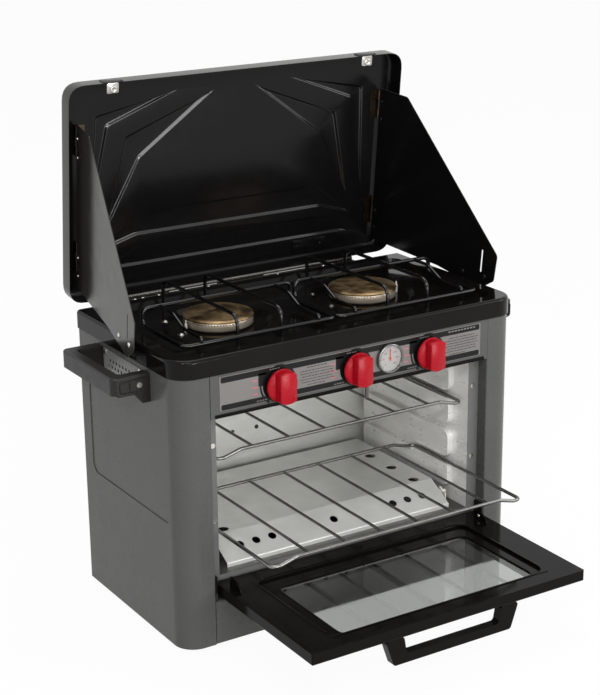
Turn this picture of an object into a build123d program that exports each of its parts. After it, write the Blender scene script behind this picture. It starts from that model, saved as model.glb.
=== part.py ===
from build123d import *
import os
from math import cos, radians, sin

os.makedirs("parts", exist_ok=True)

# Folding camp oven: a steel cabinet with a small oven below and a two-burner cooktop above.
# X runs to the right, Y to the back, Z up. The cabinet is drawn about its own middle, with the
# feet on Z = 0; at the end every piece moves along Y together, so that the origin lies under
# the middle of the whole object as it stands open. All sizes are in millimetres.

# ---------------------------------------------------------------- driving dimensions
CABINET_WIDTH = 550.0
CABINET_DEPTH = 292.0
CABINET_HEIGHT = 384.0      # from the underside up to the edge of the cooktop
CORNER_RADIUS = 30.0        # the front corners of the side panels
BACK_RADIUS = 4.0
SHEET = 1.0                 # steel sheet of the cabinet, the liner and the cooktop
FOLD_RADIUS = 2.0
SEAT = 0.3                  # gap between pieces of two bodies that rest on each other
FOOT_HEIGHT = 8.0
FOOT_RADIUS = 8.0
FOOT_INSET = 34.0
REAR_FLANGE = 14.0

OPENING_WIDTH = 452.0       # between the folded front edges of the side panels
KICK_HEIGHT = 64.0          # the fixed panel under the door
PANEL_HEIGHT = 60.0         # the control panel under the cooktop
RECESS_DEPTH = 19.0         # how far the oven's front frame lies behind the front
PRESS_DEPTH = 1.2           # of the rectangle pressed into each side
PRESS_WIDTH = 236.0
PRESS_BOTTOM = 176.0        # heights in the cabinet are measured from its underside
PRESS_TOP = 318.0
PRESS_CORNER = 16.0
BASE_FLANGE = 12.0

LINER_WIDTH = 418.0         # inside the oven
LINER_FLOOR = 91.0
LINER_TOP = 318.0
LINER_GAP = 1.5             # between the liner's back and the back panel
PAD_DEPTH = 9.0             # how far the rack guides stand in from the side walls
PAD_START = 36.0            # behind the front frame
PAD_END = 14.0              # before the liner's back
GUIDE_PITCH = 51.5
GUIDES = 3
LOWEST_GUIDE = 151.5        # height of a rack's side wires in the lowest groove
UPPER_GUIDE = 2             # the groove that holds the upper rack
GROOVE = 11.0
LOWEST_PAD = 114.0
TOP_PAD = 302.0

RACK_WIDTH = 407.0          # over the middles of the side wires
RACK_DEPTH = 254.0
RACK_STEP = 7.0             # the platform stands this far above the side wires
RACK_SLOPE = 26.0
RACK_WIRE = 5.0
RACK_BAR = 4.0
RACK_BARS = 6
RACK_BAR_PITCH = 58.6
RACK_CORNER = 8.0
RACK_OUT = 140.0            # how far a rack slides out
RACK_SETBACK = 10.5         # from the front frame to a rack that is pushed in

BAFFLE_WIDTH = 376.0
BAFFLE_TOP = 122.0
BAFFLE_SLOPE_FOOT = 97.0
BAFFLE_FRONT = 15.0         # behind the front frame
BAFFLE_SLOPE = 44.0
BAFFLE_BACK = 12.0          # before the liner's back
BAFFLE_HOLES = (-155.0, -129.0, -103.0, 0.0, 103.0, 129.0, 155.0)
BAFFLE_HOLE = 6.0
VENT_HOLE = 8.0
VENT_HOLE_X = 163.0
VENT_HOLE_PITCH = 57.0
OVEN_BURNER_HEIGHT = 104.0
OVEN_BURNER_Y = 0.0
OVEN_BURNER_RADIUS = 7.0
OVEN_BURNER_LENGTH = 330.0
FEED_SETBACK = -60.0        # from the burner to the pipe's way down

DOOR_WIDTH = 440.0
DOOR_THICKNESS = 16.0
DOOR_EDGE = 2.0
DOOR_TOP_GAP = 4.0
DOOR_FACE_GAP = 2.0         # between the closed door and the front frame
DOOR_PIVOT_IN = 6.7         # from the door's inner face to its pivots
DOOR_PIVOT_RISE = 4.0       # from the door's lower edge to its pivots
DOOR_PIVOT_HEIGHT = 79.0
DOOR_PIN_RADIUS = 2.5
DOOR_PIN_REACH = 12.0
BORE_CLEARANCE = 0.08
HINGE_PLATE = 3.0
HINGE_PLATE_HEIGHT = 36.0
WINDOW_WIDTH = 350.0
WINDOW_HEIGHT = 190.0
WINDOW_START = 28.0         # from the pivots to the recess around the window
WINDOW_RECESS = 3.0
GLASS_WIDTH = 312.0
GLASS_HEIGHT = 158.0
GLASS_START = 55.0
GLASS_THICKNESS = 4.0
GLASS_LAP = 8.0
RETAINER_WIDTH = 12.0
RETAINER_THICKNESS = 1.5
PULL_LENGTH = 216.0
PULL_TAPER = 13.0           # how much each bracket leans in
PULL_REACH = 38.0
PULL_BAR = 13.0
PULL_FOOT = 29.0
PULL_SETBACK = 2.0          # from the door's upper edge

SKIRT_HEIGHT = 26.0         # the cooktop's edge, which laps over the cabinet
SKIRT_LAP = 1.8
LAP_HEIGHT = 11.0           # how far the panels reach up inside the skirt
SKIRT_EDGE = 6.0
PAN_FLOOR_DROP = 9.0
PAN_RIM = 22.0
PAN_CORNER = 18.0
DISH_DROP = 6.0
DISH_RADIUS = 76.0
DISH_TAPER = 50.0
BURNER_SPACING = 242.0
BURNER_Y = 17.0
BURNER_RADIUS = 50.0
BURNER_CAP_HEIGHT = 7.0
BURNER_BASE_HEIGHT = 11.0
BURNER_FOOT_RADIUS = 40.0
BURNER_PORTS = 32
PORT_SIZE = 2.2
ELECTRODE_RADIUS = 2.0
ELECTRODE_GAP = 3.0
VENTURI_RADIUS = 8.0
VENTURI_BEND = 20.0

GRATE_HALF = 118.0
GRATE_FRONT = -95.0
GRATE_BACK = 137.0          # where the pot wires come down to the back rim
GRATE_FOOT = 12.0           # height of the frame over the cooktop's floor
GRATE_RISE = 20.0           # of the pot wires over the frame
GRATE_CORNER = 20.0
FRONT_BAR = 4.4
LOOP_WIRE = 4.2
POT_WIRE = 4.0
POT_WIRE_SPACING = 71.0
LOOP_INNER_FRONT = 80.0     # the side loops' inner run, measured from the burner's middle
LOOP_INNER_BACK = 56.0
LOOP_END = 20.0             # width of a loop's back end
LOOP_BACK = 104.0
LOOP_BEND_Y = 5.0           # where the outer run turns inwards
LOOP_WAIST_Y = -45.0
LOOP_FOOT_Y = -70.0

LID_WIDTH = 550.0
LID_LENGTH = 316.0
LID_DEPTH = 27.7
LID_CORNER = 25.0
LID_EDGE = 7.0
LID_LEAN = 6.24             # degrees that the open lid leans forward
LID_AXIS_BACK = 18.5        # behind the back of the cabinet
LID_AXIS_DROP = 1.0         # below the cooktop's rim
LID_RIM_OFFSET = 5.5        # from the hinge axis back to the lid's rim
LID_RIB = 2.2
LID_HINGE_LENGTH = 400.0
LID_KNUCKLES = 5
KNUCKLE_RADIUS = 3.2
KNUCKLE_GAP = 0.5
LID_PIN_RADIUS = 1.6
LEAF = 1.0
LEAF_WIDTH = 16.0
CATCH_X = 209.0
CATCH_WIDTH = 20.0
CATCH_LENGTH = 15.0

SCREEN_AXIS_X = 253.0
SCREEN_AXIS_DEPTH = 28.5    # behind the lid's hinge axis
SCREEN_FLARE = 9.2          # degrees outwards
SCREEN_SHEET = 1.0
SCREEN_TOP = 257.0
SCREEN_TOP_DEPTH = 61.0
SCREEN_REAR_BOTTOM = 16.0
SCREEN_REACH = 267.5
SCREEN_KINK = 67.0
SCREEN_NOSE = 26.5
SCREEN_TIP = 6.5
SCREEN_TIP_DEPTH = 238.0
SCREEN_BEND_DEPTH = 150.0
SCREEN_KNUCKLE_RADIUS = 2.3
SCREEN_PIN_RADIUS = 1.0
SCREEN_HINGE = 43.0
SCREEN_HINGE_HEIGHTS = (41.0, 211.0)
SCREEN_SLOT = (238.0, 33.0, 68.0, 3.0)   # depth, bottom, top and width
CLIP_Y = -55.0
CLIP_WIDTH = 14.0
CLIP_HEIGHT = 20.0

KNOB_SPACING = 121.5
KNOB_HEIGHT = 353.5
KNOB_RADIUS = 23.0
KNOB_DEPTH = 19.0
KNOB_DISC = 8.0
KNOB_GRIP = 15.0
KNOB_GAP = 6.0              # behind the knob, which leaves room to push it
KNOB_PUSH = 3.0
STEM_RADIUS = 4.0
STEM_IN_VALVE = 16.0
COLLAR_RADIUS = 7.0
COLLAR_THICKNESS = 1.5
VALVE_RADIUS = 10.0
VALVE_NOSE_RADIUS = 7.0
VALVE_DEPTH = 36.0
MANIFOLD_RADIUS = 7.0
MANIFOLD_DROP = 17.0
LABEL_WIDTH = 425.0
LABEL_HEIGHT = 47.0
LABEL_MIDDLE = 356.5
LABEL_SHEET = 0.5
DIAL_X = 54.5
DIAL_HEIGHT = 357.5
DIAL_RADIUS = 21.0
DIAL_DEPTH = 6.0
DIAL_BEZEL = 2.5
NEEDLE_LENGTH = 14.0
PROBE_RADIUS = 2.5
PROBE_DEPTH = 34.0

HANDLE_FRONT = -73.0
HANDLE_BACK = 84.0
HANDLE_OUT = 55.0
HANDLE_TOP = 378.0
HANDLE_ROOT = 40.0          # its height where it meets the cabinet
HANDLE_GRIP = 24.0
HANDLE_WALL = 17.0
HANDLE_CORNER = 9.0
BOLT_RADIUS = 4.0
VENT_MARGIN = 4.0           # between the vent plate and the handle's arms
VENT_BOTTOM = 333.0
VENT_TOP = 376.0
VENT_PITCH = 9.5
VENT_RADIUS = 2.6
SCREW_RADIUS = 3.6
SCREW_HEIGHT = 1.5
INLET_X = 215.0
INLET_RADIUS = 9.0
INLET_OUT = 24.0

# ---------------------------------------------------------------- places worked out from them
FRONT = -CABINET_DEPTH / 2
BACK = CABINET_DEPTH / 2
SIDE = CABINET_WIDTH / 2
UNDERSIDE = FOOT_HEIGHT
CABINET_TOP = UNDERSIDE + CABINET_HEIGHT
PANEL_TOP = CABINET_TOP + LAP_HEIGHT
RIM_Z = CABINET_TOP + SKIRT_HEIGHT
OPENING = OPENING_WIDTH / 2
KICK_TOP = UNDERSIDE + KICK_HEIGHT
PANEL_BOTTOM = CABINET_TOP - PANEL_HEIGHT
FRAME_Y = FRONT + RECESS_DEPTH
LINER = LINER_WIDTH / 2
FLOOR_Z = UNDERSIDE + LINER_FLOOR
CEILING_Z = UNDERSIDE + LINER_TOP
LINER_BACK = BACK - SHEET - LINER_GAP - SHEET
PAN_FLOOR_Z = RIM_Z - PAN_FLOOR_DROP
DISH_Z = PAN_FLOOR_Z - DISH_DROP
DOOR_PIVOT_Y = FRAME_Y - DOOR_FACE_GAP - DOOR_PIVOT_IN
DOOR_PIVOT_Z = UNDERSIDE + DOOR_PIVOT_HEIGHT
DOOR_INNER_Z = DOOR_PIVOT_Z + DOOR_PIVOT_IN
DOOR_LENGTH = PANEL_BOTTOM - DOOR_TOP_GAP - DOOR_PIVOT_Z
LID_AXIS_Y = BACK + LID_AXIS_BACK
LID_AXIS_Z = RIM_Z - LID_AXIS_DROP
KNOB_Z = UNDERSIDE + KNOB_HEIGHT
DIAL_Z = UNDERSIDE + DIAL_HEIGHT
VENT_Y0 = HANDLE_FRONT + HANDLE_WALL + VENT_MARGIN
VENT_Y1 = HANDLE_BACK - HANDLE_WALL - VENT_MARGIN
LEAN = radians(LID_LEAN)
# the open lid's own plane: its origin on the hinge axis, y up along the lid, z to the front
LID = Plane(origin=(0, LID_AXIS_Y, LID_AXIS_Z), x_dir=(1, 0, 0), z_dir=(0, -cos(LEAN), -sin(LEAN)))
LID_BACK = -(LID_RIM_OFFSET + LID_DEPTH)
SIDES = {"left": -1, "right": 1}

pieces = {}


def keep(name, piece):
    """Give a finished piece its name and keep it until all are written."""
    piece.label = name
    pieces[name] = piece


def mirrored(piece):
    """The same piece on the other side of the cabinet."""
    return mirror(piece, about=Plane.YZ)


def add_wire(points, thickness, bend, closed=False):
    """Sweep a round wire along straight runs with rounded bends, into the part being built."""
    with BuildLine() as path:
        FilletPolyline(*points, radius=bend, close=closed)
    with BuildSketch(Plane(path.line @ 0, z_dir=path.line % 0)) as section:
        Circle(thickness / 2)
    sweep(sections=section.sketch, path=path.wire())


def add_rod(start, end, radius):
    """A straight round bar between two points, into the part being built."""
    run = Vector(*end) - Vector(*start)
    with BuildSketch(Plane(Vector(*start), z_dir=run)) as section:
        Circle(radius)
    extrude(section.sketch, amount=run.length)


def sheet_profile(points, bends, side=Side.LEFT, thickness=SHEET):
    """A bent sheet's section: a line with rounded folds, made thick towards one side."""
    with BuildSketch(mode=Mode.PRIVATE) as section:
        with BuildLine():
            FilletPolyline(*points, radius=bends)
            offset(amount=thickness, side=side)
        make_face()
    return section.sketch


# ---------------------------------------------------------------- cabinet panels
def side_panel():
    """The right side: one sheet from the front opening round the corner to the back."""
    with BuildPart() as panel:
        with BuildSketch(Plane.XY.offset(UNDERSIDE)):
            add(sheet_profile(
                [(OPENING, FRAME_Y), (OPENING, FRONT), (SIDE, FRONT), (SIDE, BACK),
                 (SIDE - REAR_FLANGE, BACK)],
                (FOLD_RADIUS, CORNER_RADIUS, BACK_RADIUS)))
        extrude(amount=CABINET_HEIGHT + LAP_HEIGHT)
        # the rectangle pressed into the side, and the step behind it that keeps the sheet whole
        middle = (0, UNDERSIDE + (PRESS_BOTTOM + PRESS_TOP) / 2)
        height = PRESS_TOP - PRESS_BOTTOM
        with BuildSketch(Plane.YZ.offset(SIDE - SHEET)):
            with Locations(middle):
                RectangleRounded(PRESS_WIDTH + 2 * SHEET, height + 2 * SHEET, PRESS_CORNER)
        extrude(amount=-PRESS_DEPTH)
        with BuildSketch(Plane.YZ.offset(SIDE)):
            with Locations(middle):
                RectangleRounded(PRESS_WIDTH, height, PRESS_CORNER - SHEET)
        extrude(amount=-PRESS_DEPTH, mode=Mode.SUBTRACT)
        # the opening behind the vent plate
        with BuildSketch(Plane.YZ.offset(SIDE)):
            with Locations(((VENT_Y0 + VENT_Y1) / 2, UNDERSIDE + (VENT_BOTTOM + VENT_TOP) / 2)):
                Rectangle(VENT_Y1 - VENT_Y0 - 3 * VENT_PITCH, VENT_TOP - VENT_BOTTOM - 2 * VENT_PITCH)
        extrude(amount=-3 * SHEET, mode=Mode.SUBTRACT)
    return panel.part


right_panel = side_panel()
keep("side_panel_right", right_panel)
keep("side_panel_left", mirrored(right_panel))

with BuildPart() as back_panel:
    with BuildSketch(Plane.XZ.offset(-(BACK - SHEET))):
        with Locations((0, (UNDERSIDE + SHEET + PANEL_TOP) / 2)):
            Rectangle(CABINET_WIDTH - 2 * REAR_FLANGE, PANEL_TOP - UNDERSIDE - SHEET)
        # flue slots near the top
        with Locations((0, CEILING_Z + 24)):
            with GridLocations(60, 14, 6, 2):
                SlotOverall(44, 6, mode=Mode.SUBTRACT)
    extrude(amount=-SHEET)
keep("back_panel", back_panel.part)

with BuildPart() as base_pan:
    with BuildSketch(Plane.XY.offset(UNDERSIDE)) as floor_plate:
        with Locations((0, SHEET / 2)):
            Rectangle(CABINET_WIDTH - 2 * SHEET, CABINET_DEPTH - 3 * SHEET)
        fillet(floor_plate.vertices().group_by(Axis.Y)[0], CORNER_RADIUS - SHEET)
        fillet(floor_plate.vertices().group_by(Axis.Y)[-1], BACK_RADIUS - SHEET)
        # slots for the side panels' folded front edges
        with Locations((0, FRONT + RECESS_DEPTH / 2)):
            with GridLocations(OPENING_WIDTH + SHEET, 1, 2, 1):
                Rectangle(SHEET, RECESS_DEPTH, mode=Mode.SUBTRACT)
    extrude(amount=SHEET)
    for end in (-1, 1):
        with BuildSketch(Plane.XY.offset(UNDERSIDE + SHEET)):
            with Locations((end * (SIDE - 1.5 * SHEET), 0)):
                Rectangle(SHEET, CABINET_DEPTH - 2 * CORNER_RADIUS - 4 * SHEET)
        extrude(amount=BASE_FLANGE)
keep("base_pan", base_pan.part)

with BuildPart() as feet:
    with BuildSketch():
        with GridLocations(CABINET_WIDTH - 2 * FOOT_INSET, CABINET_DEPTH - 2 * FOOT_INSET, 2, 2):
            Circle(FOOT_RADIUS)
    extrude(amount=FOOT_HEIGHT, taper=6)
keep("feet", feet.part)

with BuildPart() as kick_panel:
    with BuildSketch(Plane.YZ.offset(-OPENING)):
        add(sheet_profile(
            [(FRONT, UNDERSIDE + SHEET), (FRONT, KICK_TOP), (FRAME_Y, KICK_TOP)],
            FOLD_RADIUS, Side.RIGHT))
    extrude(amount=OPENING_WIDTH)
keep("kick_panel", kick_panel.part)

with BuildPart() as front_frame:
    with BuildSketch(Plane.XZ.offset(-FRAME_Y)):
        with Locations((0, (KICK_TOP - SHEET + PANEL_BOTTOM + SHEET) / 2)):
            Rectangle(OPENING_WIDTH + 2 * SHEET, PANEL_BOTTOM - KICK_TOP + 2 * SHEET)
        with Locations((0, (FLOOR_Z + CEILING_Z) / 2)):
            RectangleRounded(LINER_WIDTH, LINER_TOP - LINER_FLOOR, FOLD_RADIUS, mode=Mode.SUBTRACT)
    extrude(amount=-SHEET)
keep("oven_front_frame", front_frame.part)

# ---------------------------------------------------------------- control panel
STEM_HOLE = STEM_RADIUS + 2.0
stem_places = [(x, KNOB_Z) for x in (-KNOB_SPACING, 0, KNOB_SPACING)]

with BuildPart() as control_panel:
    with BuildSketch(Plane.YZ.offset(-OPENING)):
        add(sheet_profile(
            [(FRONT, PANEL_TOP), (FRONT, PANEL_BOTTOM), (FRAME_Y, PANEL_BOTTOM)],
            FOLD_RADIUS))
    extrude(amount=OPENING_WIDTH)
    with BuildSketch(Plane.XZ.offset(-FRONT)):
        with Locations(*stem_places):
            Circle(STEM_HOLE)
        with Locations((DIAL_X, DIAL_Z)):
            Circle(DIAL_RADIUS - 2 * DIAL_BEZEL)
    extrude(amount=-2 * SHEET, mode=Mode.SUBTRACT)
keep("control_panel", control_panel.part)

with BuildPart() as label_plate:
    with BuildSketch(Plane.XZ.offset(-FRONT)):
        with Locations((0, UNDERSIDE + LABEL_MIDDLE)):
            RectangleRounded(LABEL_WIDTH, LABEL_HEIGHT, 2)
        with Locations(*stem_places):
            Circle(STEM_HOLE, mode=Mode.SUBTRACT)
        with Locations((DIAL_X, DIAL_Z)):
            Circle(DIAL_RADIUS - DIAL_BEZEL, mode=Mode.SUBTRACT)
    extrude(amount=LABEL_SHEET)
keep("control_label", label_plate.part)

PANEL_FACE = FRONT - LABEL_SHEET
KNOB_BACK = FRONT - KNOB_GAP
VALVE_FRONT = FRONT + SHEET
VALVE_BACK = VALVE_FRONT + VALVE_DEPTH


def knob():
    """A round knob with a raised grip across it, drawn about the middle stem."""
    with BuildPart() as body:
        with BuildSketch(Plane.XZ.offset(-KNOB_BACK)):
            with Locations((0, KNOB_Z)):
                Circle(KNOB_RADIUS)
        extrude(amount=KNOB_DISC)
        rim = body.faces().sort_by(Axis.Y)[0].edges()
        with BuildSketch(Plane.XZ.offset(-(KNOB_BACK - KNOB_DISC))):
            with Locations((0, KNOB_Z)):
                SlotOverall(2 * KNOB_RADIUS - 1, KNOB_GRIP, rotation=90)
        extrude(amount=KNOB_DEPTH - KNOB_DISC, taper=8)
        fillet(rim, 2.5)
        fillet(body.faces().sort_by(Axis.Y)[0].edges(), 2)
        with BuildSketch(Plane.XZ.offset(-KNOB_BACK)):
            with Locations((0, KNOB_Z)):
                Circle(STEM_RADIUS)
        extrude(amount=KNOB_DISC, mode=Mode.SUBTRACT)
    return body.part


def stem():
    """The valve stem, which turns with its knob."""
    with BuildPart() as body:
        add_rod((0, VALVE_FRONT + STEM_IN_VALVE, KNOB_Z), (0, KNOB_BACK - KNOB_DISC, KNOB_Z), STEM_RADIUS)
    return body.part


def collar():
    """The loose ring behind the knob, which is pushed in with it but doesn't turn."""
    with BuildPart() as body:
        with BuildSketch(Plane.XZ.offset(-(KNOB_BACK + SEAT))):
            with Locations((0, KNOB_Z)):
                Circle(COLLAR_RADIUS)
                Circle(STEM_RADIUS + BORE_CLEARANCE, mode=Mode.SUBTRACT)
        extrude(amount=-COLLAR_THICKNESS)
    return body.part


for name, x in (("left", -KNOB_SPACING), ("middle", 0), ("right", KNOB_SPACING)):
    place = Location((x, 0, 0))
    keep(f"knob_{name}", knob().moved(place))
    keep(f"knob_{name}_stem", stem().moved(place))
    keep(f"knob_{name}_collar", collar().moved(place))

with BuildPart() as valves:
    for x, z in stem_places:
        with BuildSketch(Plane.XZ.offset(-VALVE_FRONT)):
            with Locations((x, z)):
                Circle(VALVE_NOSE_RADIUS)
        extrude(amount=-VALVE_DEPTH / 2)
        with BuildSketch(Plane.XZ.offset(-(VALVE_FRONT + VALVE_DEPTH / 3))):
            with Locations((x, z)):
                Circle(VALVE_RADIUS)
        extrude(amount=-VALVE_DEPTH * 2 / 3)
        with BuildSketch(Plane.XZ.offset(-VALVE_FRONT)):
            with Locations((x, z)):
                Circle(STEM_RADIUS + BORE_CLEARANCE)
        extrude(amount=-(STEM_IN_VALVE + KNOB_PUSH + 1), mode=Mode.SUBTRACT)
keep("gas_valves", valves.part)

MANIFOLD_Y = VALVE_BACK - VALVE_RADIUS
MANIFOLD_Z = KNOB_Z - MANIFOLD_DROP
with BuildPart() as manifold:
    add_wire([(-KNOB_SPACING - 2 * VALVE_RADIUS, MANIFOLD_Y, MANIFOLD_Z),
              (INLET_X, MANIFOLD_Y, MANIFOLD_Z), (INLET_X, BACK - SHEET, MANIFOLD_Z)],
             2 * MANIFOLD_RADIUS, 2.5 * MANIFOLD_RADIUS)
keep("gas_manifold", manifold.part)

with BuildPart() as inlet:
    with BuildSketch(Plane.XZ.offset(-BACK)):
        with Locations((INLET_X, MANIFOLD_Z)):
            RegularPolygon(INLET_RADIUS + 1.5, 6)
    extrude(amount=-INLET_OUT / 3)
    with BuildSketch(Plane.XZ.offset(-(BACK + INLET_OUT / 3))):
        with Locations((INLET_X, MANIFOLD_Z)):
            Circle(INLET_RADIUS - 1)
    extrude(amount=-INLET_OUT * 2 / 3)
    with BuildSketch(Plane.XZ.offset(-(BACK + INLET_OUT))):
        with Locations((INLET_X, MANIFOLD_Z)):
            Circle(INLET_RADIUS / 2)
    extrude(amount=INLET_OUT / 2, mode=Mode.SUBTRACT)
keep("gas_inlet", inlet.part)

# ---------------------------------------------------------------- oven thermometer
with BuildPart() as dial_case:
    with BuildSketch(Plane.XZ.offset(-FRONT)):
        with Locations((DIAL_X, DIAL_Z)):
            Circle(DIAL_RADIUS - DIAL_BEZEL)
    extrude(amount=DIAL_DEPTH / 2)
    with BuildSketch(Plane.XZ.offset(-PANEL_FACE)):
        with Locations((DIAL_X, DIAL_Z)):
            Circle(DIAL_RADIUS)
            Circle(DIAL_RADIUS - DIAL_BEZEL, mode=Mode.SUBTRACT)
    extrude(amount=DIAL_DEPTH)
    fillet(dial_case.faces().sort_by(Axis.Y)[0].edges().sort_by(SortBy.LENGTH)[-1], 1.5)
keep("thermometer_case", dial_case.part)
DIAL_FACE = FRONT - DIAL_DEPTH / 2
with BuildPart() as dial_glass:
    with BuildSketch(Plane.XZ.offset(-(PANEL_FACE - DIAL_DEPTH + 2))):
        with Locations((DIAL_X, DIAL_Z)):
            Circle(DIAL_RADIUS - DIAL_BEZEL)
    extrude(amount=1)
keep("thermometer_glass", dial_glass.part)
with BuildPart() as needle:
    with BuildSketch(Plane.XZ.offset(-(DIAL_FACE - SEAT))):
        with Locations((DIAL_X, DIAL_Z)):
            Circle(2)
        with Locations((DIAL_X, DIAL_Z + NEEDLE_LENGTH / 2 - 2)):
            Rectangle(1.4, NEEDLE_LENGTH + 4)
    extrude(amount=0.6)
keep("thermometer_needle", needle.part)
PROBE_Y = FRAME_Y + PROBE_DEPTH
with BuildPart() as probe:
    add_wire([(DIAL_X, FRONT, DIAL_Z), (DIAL_X, PROBE_Y, DIAL_Z),
              (DIAL_X, PROBE_Y, CEILING_Z - PROBE_DEPTH)], 2 * PROBE_RADIUS, 3 * PROBE_RADIUS)
keep("thermometer_probe", probe.part)

# ---------------------------------------------------------------- oven liner
guide_heights = [UNDERSIDE + LOWEST_GUIDE + n * GUIDE_PITCH for n in range(GUIDES)]
SEAT_DROP = RACK_WIRE / 2 + SEAT
pad_bottoms = [UNDERSIDE + LOWEST_PAD] + [z - SEAT_DROP + GROOVE for z in guide_heights]
pad_tops = [z - SEAT_DROP for z in guide_heights] + [UNDERSIDE + TOP_PAD]
PAD_Y0 = FRAME_Y + PAD_START
PAD_Y1 = LINER_BACK - PAD_END
INSET = 1.4 * SHEET         # keeps the pressed pads about as thick as the sheet


def liner_side():
    """The oven's right wall, with the pads pressed inwards that carry and part the racks."""
    with BuildPart() as wall:
        with BuildSketch(Plane.YZ.offset(LINER)):
            with Locations(((FRAME_Y + SHEET + LINER_BACK) / 2, (FLOOR_Z + CEILING_Z) / 2)):
                Rectangle(LINER_BACK - FRAME_Y - SHEET, LINER_TOP - LINER_FLOOR)
        extrude(amount=SHEET)
        for low, high in zip(pad_bottoms, pad_tops):
            middle = ((PAD_Y0 + PAD_Y1) / 2, (low + high) / 2)
            radius = 0.3 * (high - low)
            with BuildSketch(Plane.YZ.offset(LINER)):
                with Locations(middle):
                    RectangleRounded(PAD_Y1 - PAD_Y0, high - low, radius)
            extrude(amount=-PAD_DEPTH)
            with BuildSketch(Plane.YZ.offset(LINER + SHEET)):
                with Locations(middle):
                    RectangleRounded(PAD_Y1 - PAD_Y0 - 2 * INSET, high - low - 2 * INSET, radius - INSET)
            extrude(amount=-PAD_DEPTH, mode=Mode.SUBTRACT)
        # the pipe to the burner comes in under the lowest pad on the right
        with BuildSketch(Plane.YZ.offset(LINER + SHEET)):
            with Locations((OVEN_BURNER_Y, UNDERSIDE + OVEN_BURNER_HEIGHT)):
                Circle(OVEN_BURNER_RADIUS * 0.7)
        extrude(amount=-SHEET, mode=Mode.SUBTRACT)
    return wall.part


right_wall = liner_side()
keep("oven_wall_right", right_wall)
keep("oven_wall_left", mirrored(right_wall))

with BuildPart() as liner_back:
    with BuildSketch(Plane.XZ.offset(-LINER_BACK)):
        with Locations((0, (FLOOR_Z + CEILING_Z) / 2)):
            Rectangle(LINER_WIDTH + 2 * SHEET, LINER_TOP - LINER_FLOOR)
        with Locations((0, FLOOR_Z + LINER_TOP - LINER_FLOOR - 42)):
            with GridLocations(39, 1, 10, 1):
                Circle(4, mode=Mode.SUBTRACT)
    extrude(amount=-SHEET)
keep("oven_back", liner_back.part)

for name, low, hole in (("oven_floor", FLOOR_Z - SHEET, None), ("oven_ceiling", CEILING_Z, True)):
    with BuildPart() as sheet:
        with BuildSketch(Plane.XY.offset(low)):
            with Locations((0, (FRAME_Y + SHEET + LINER_BACK + SHEET) / 2)):
                Rectangle(LINER_WIDTH + 2 * SHEET, LINER_BACK - FRAME_Y)
            if hole:
                with Locations((DIAL_X, PROBE_Y)):
                    Circle(PROBE_RADIUS + 1, mode=Mode.SUBTRACT)
                with Locations((0, LINER_BACK - 18)):
                    with GridLocations(70, 1, 5, 1):
                        SlotOverall(46, 8, mode=Mode.SUBTRACT)
        extrude(amount=SHEET)
    keep(name, sheet.part)

# ---------------------------------------------------------------- burner under its baffle
BAFFLE_Z = UNDERSIDE + BAFFLE_TOP
SLOPE_Z = UNDERSIDE + BAFFLE_SLOPE_FOOT
BAFFLE_Y0 = FRAME_Y + BAFFLE_FRONT
BAFFLE_Y1 = BAFFLE_Y0 + BAFFLE_SLOPE
with BuildPart() as baffle:
    with BuildSketch(Plane.YZ.offset(-BAFFLE_WIDTH / 2)):
        add(sheet_profile(
            [(BAFFLE_Y0, FLOOR_Z), (BAFFLE_Y0, SLOPE_Z), (BAFFLE_Y1, BAFFLE_Z),
             (LINER_BACK - BAFFLE_BACK, BAFFLE_Z), (LINER_BACK - BAFFLE_BACK, FLOOR_Z)],
            FOLD_RADIUS, Side.RIGHT))
    extrude(amount=BAFFLE_WIDTH)
    slope = Plane(
        origin=(0, (BAFFLE_Y0 + BAFFLE_Y1) / 2, (SLOPE_Z + BAFFLE_Z) / 2), x_dir=(1, 0, 0),
        z_dir=(0, -(BAFFLE_Z - SLOPE_Z), BAFFLE_SLOPE))
    with BuildSketch(slope.offset(SHEET)):
        with Locations(*[(x, 0) for x in BAFFLE_HOLES]):
            Circle(BAFFLE_HOLE)
    extrude(amount=-3 * SHEET, mode=Mode.SUBTRACT)
    with BuildSketch(Plane.XY.offset(BAFFLE_Z + SHEET)):
        with GridLocations(2 * VENT_HOLE_X, VENT_HOLE_PITCH, 2, 3):
            Circle(VENT_HOLE)
    extrude(amount=-3 * SHEET, mode=Mode.SUBTRACT)
keep("oven_baffle", baffle.part)

BURNER_PIPE_Z = UNDERSIDE + OVEN_BURNER_HEIGHT
with BuildPart() as oven_burner:
    burner_end = BAFFLE_WIDTH / 2 - 6
    add_rod((burner_end - OVEN_BURNER_LENGTH, OVEN_BURNER_Y, BURNER_PIPE_Z),
            (burner_end, OVEN_BURNER_Y, BURNER_PIPE_Z), OVEN_BURNER_RADIUS)
    with BuildSketch(Plane.XY.offset(BURNER_PIPE_Z + OVEN_BURNER_RADIUS)):
        with Locations((burner_end - OVEN_BURNER_LENGTH / 2, OVEN_BURNER_Y)):
            with GridLocations(24, 1, 12, 1):
                Rectangle(10, 1.6)
    extrude(amount=-3, mode=Mode.SUBTRACT)
    for x in (burner_end - 14, burner_end - OVEN_BURNER_LENGTH + 14):
        with BuildSketch(Plane.YZ.offset(x)):
            with Locations((OVEN_BURNER_Y, (FLOOR_Z + BURNER_PIPE_Z) / 2)):
                Rectangle(12, BURNER_PIPE_Z - FLOOR_Z)
        extrude(amount=3)
keep("oven_burner", oven_burner.part)

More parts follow.
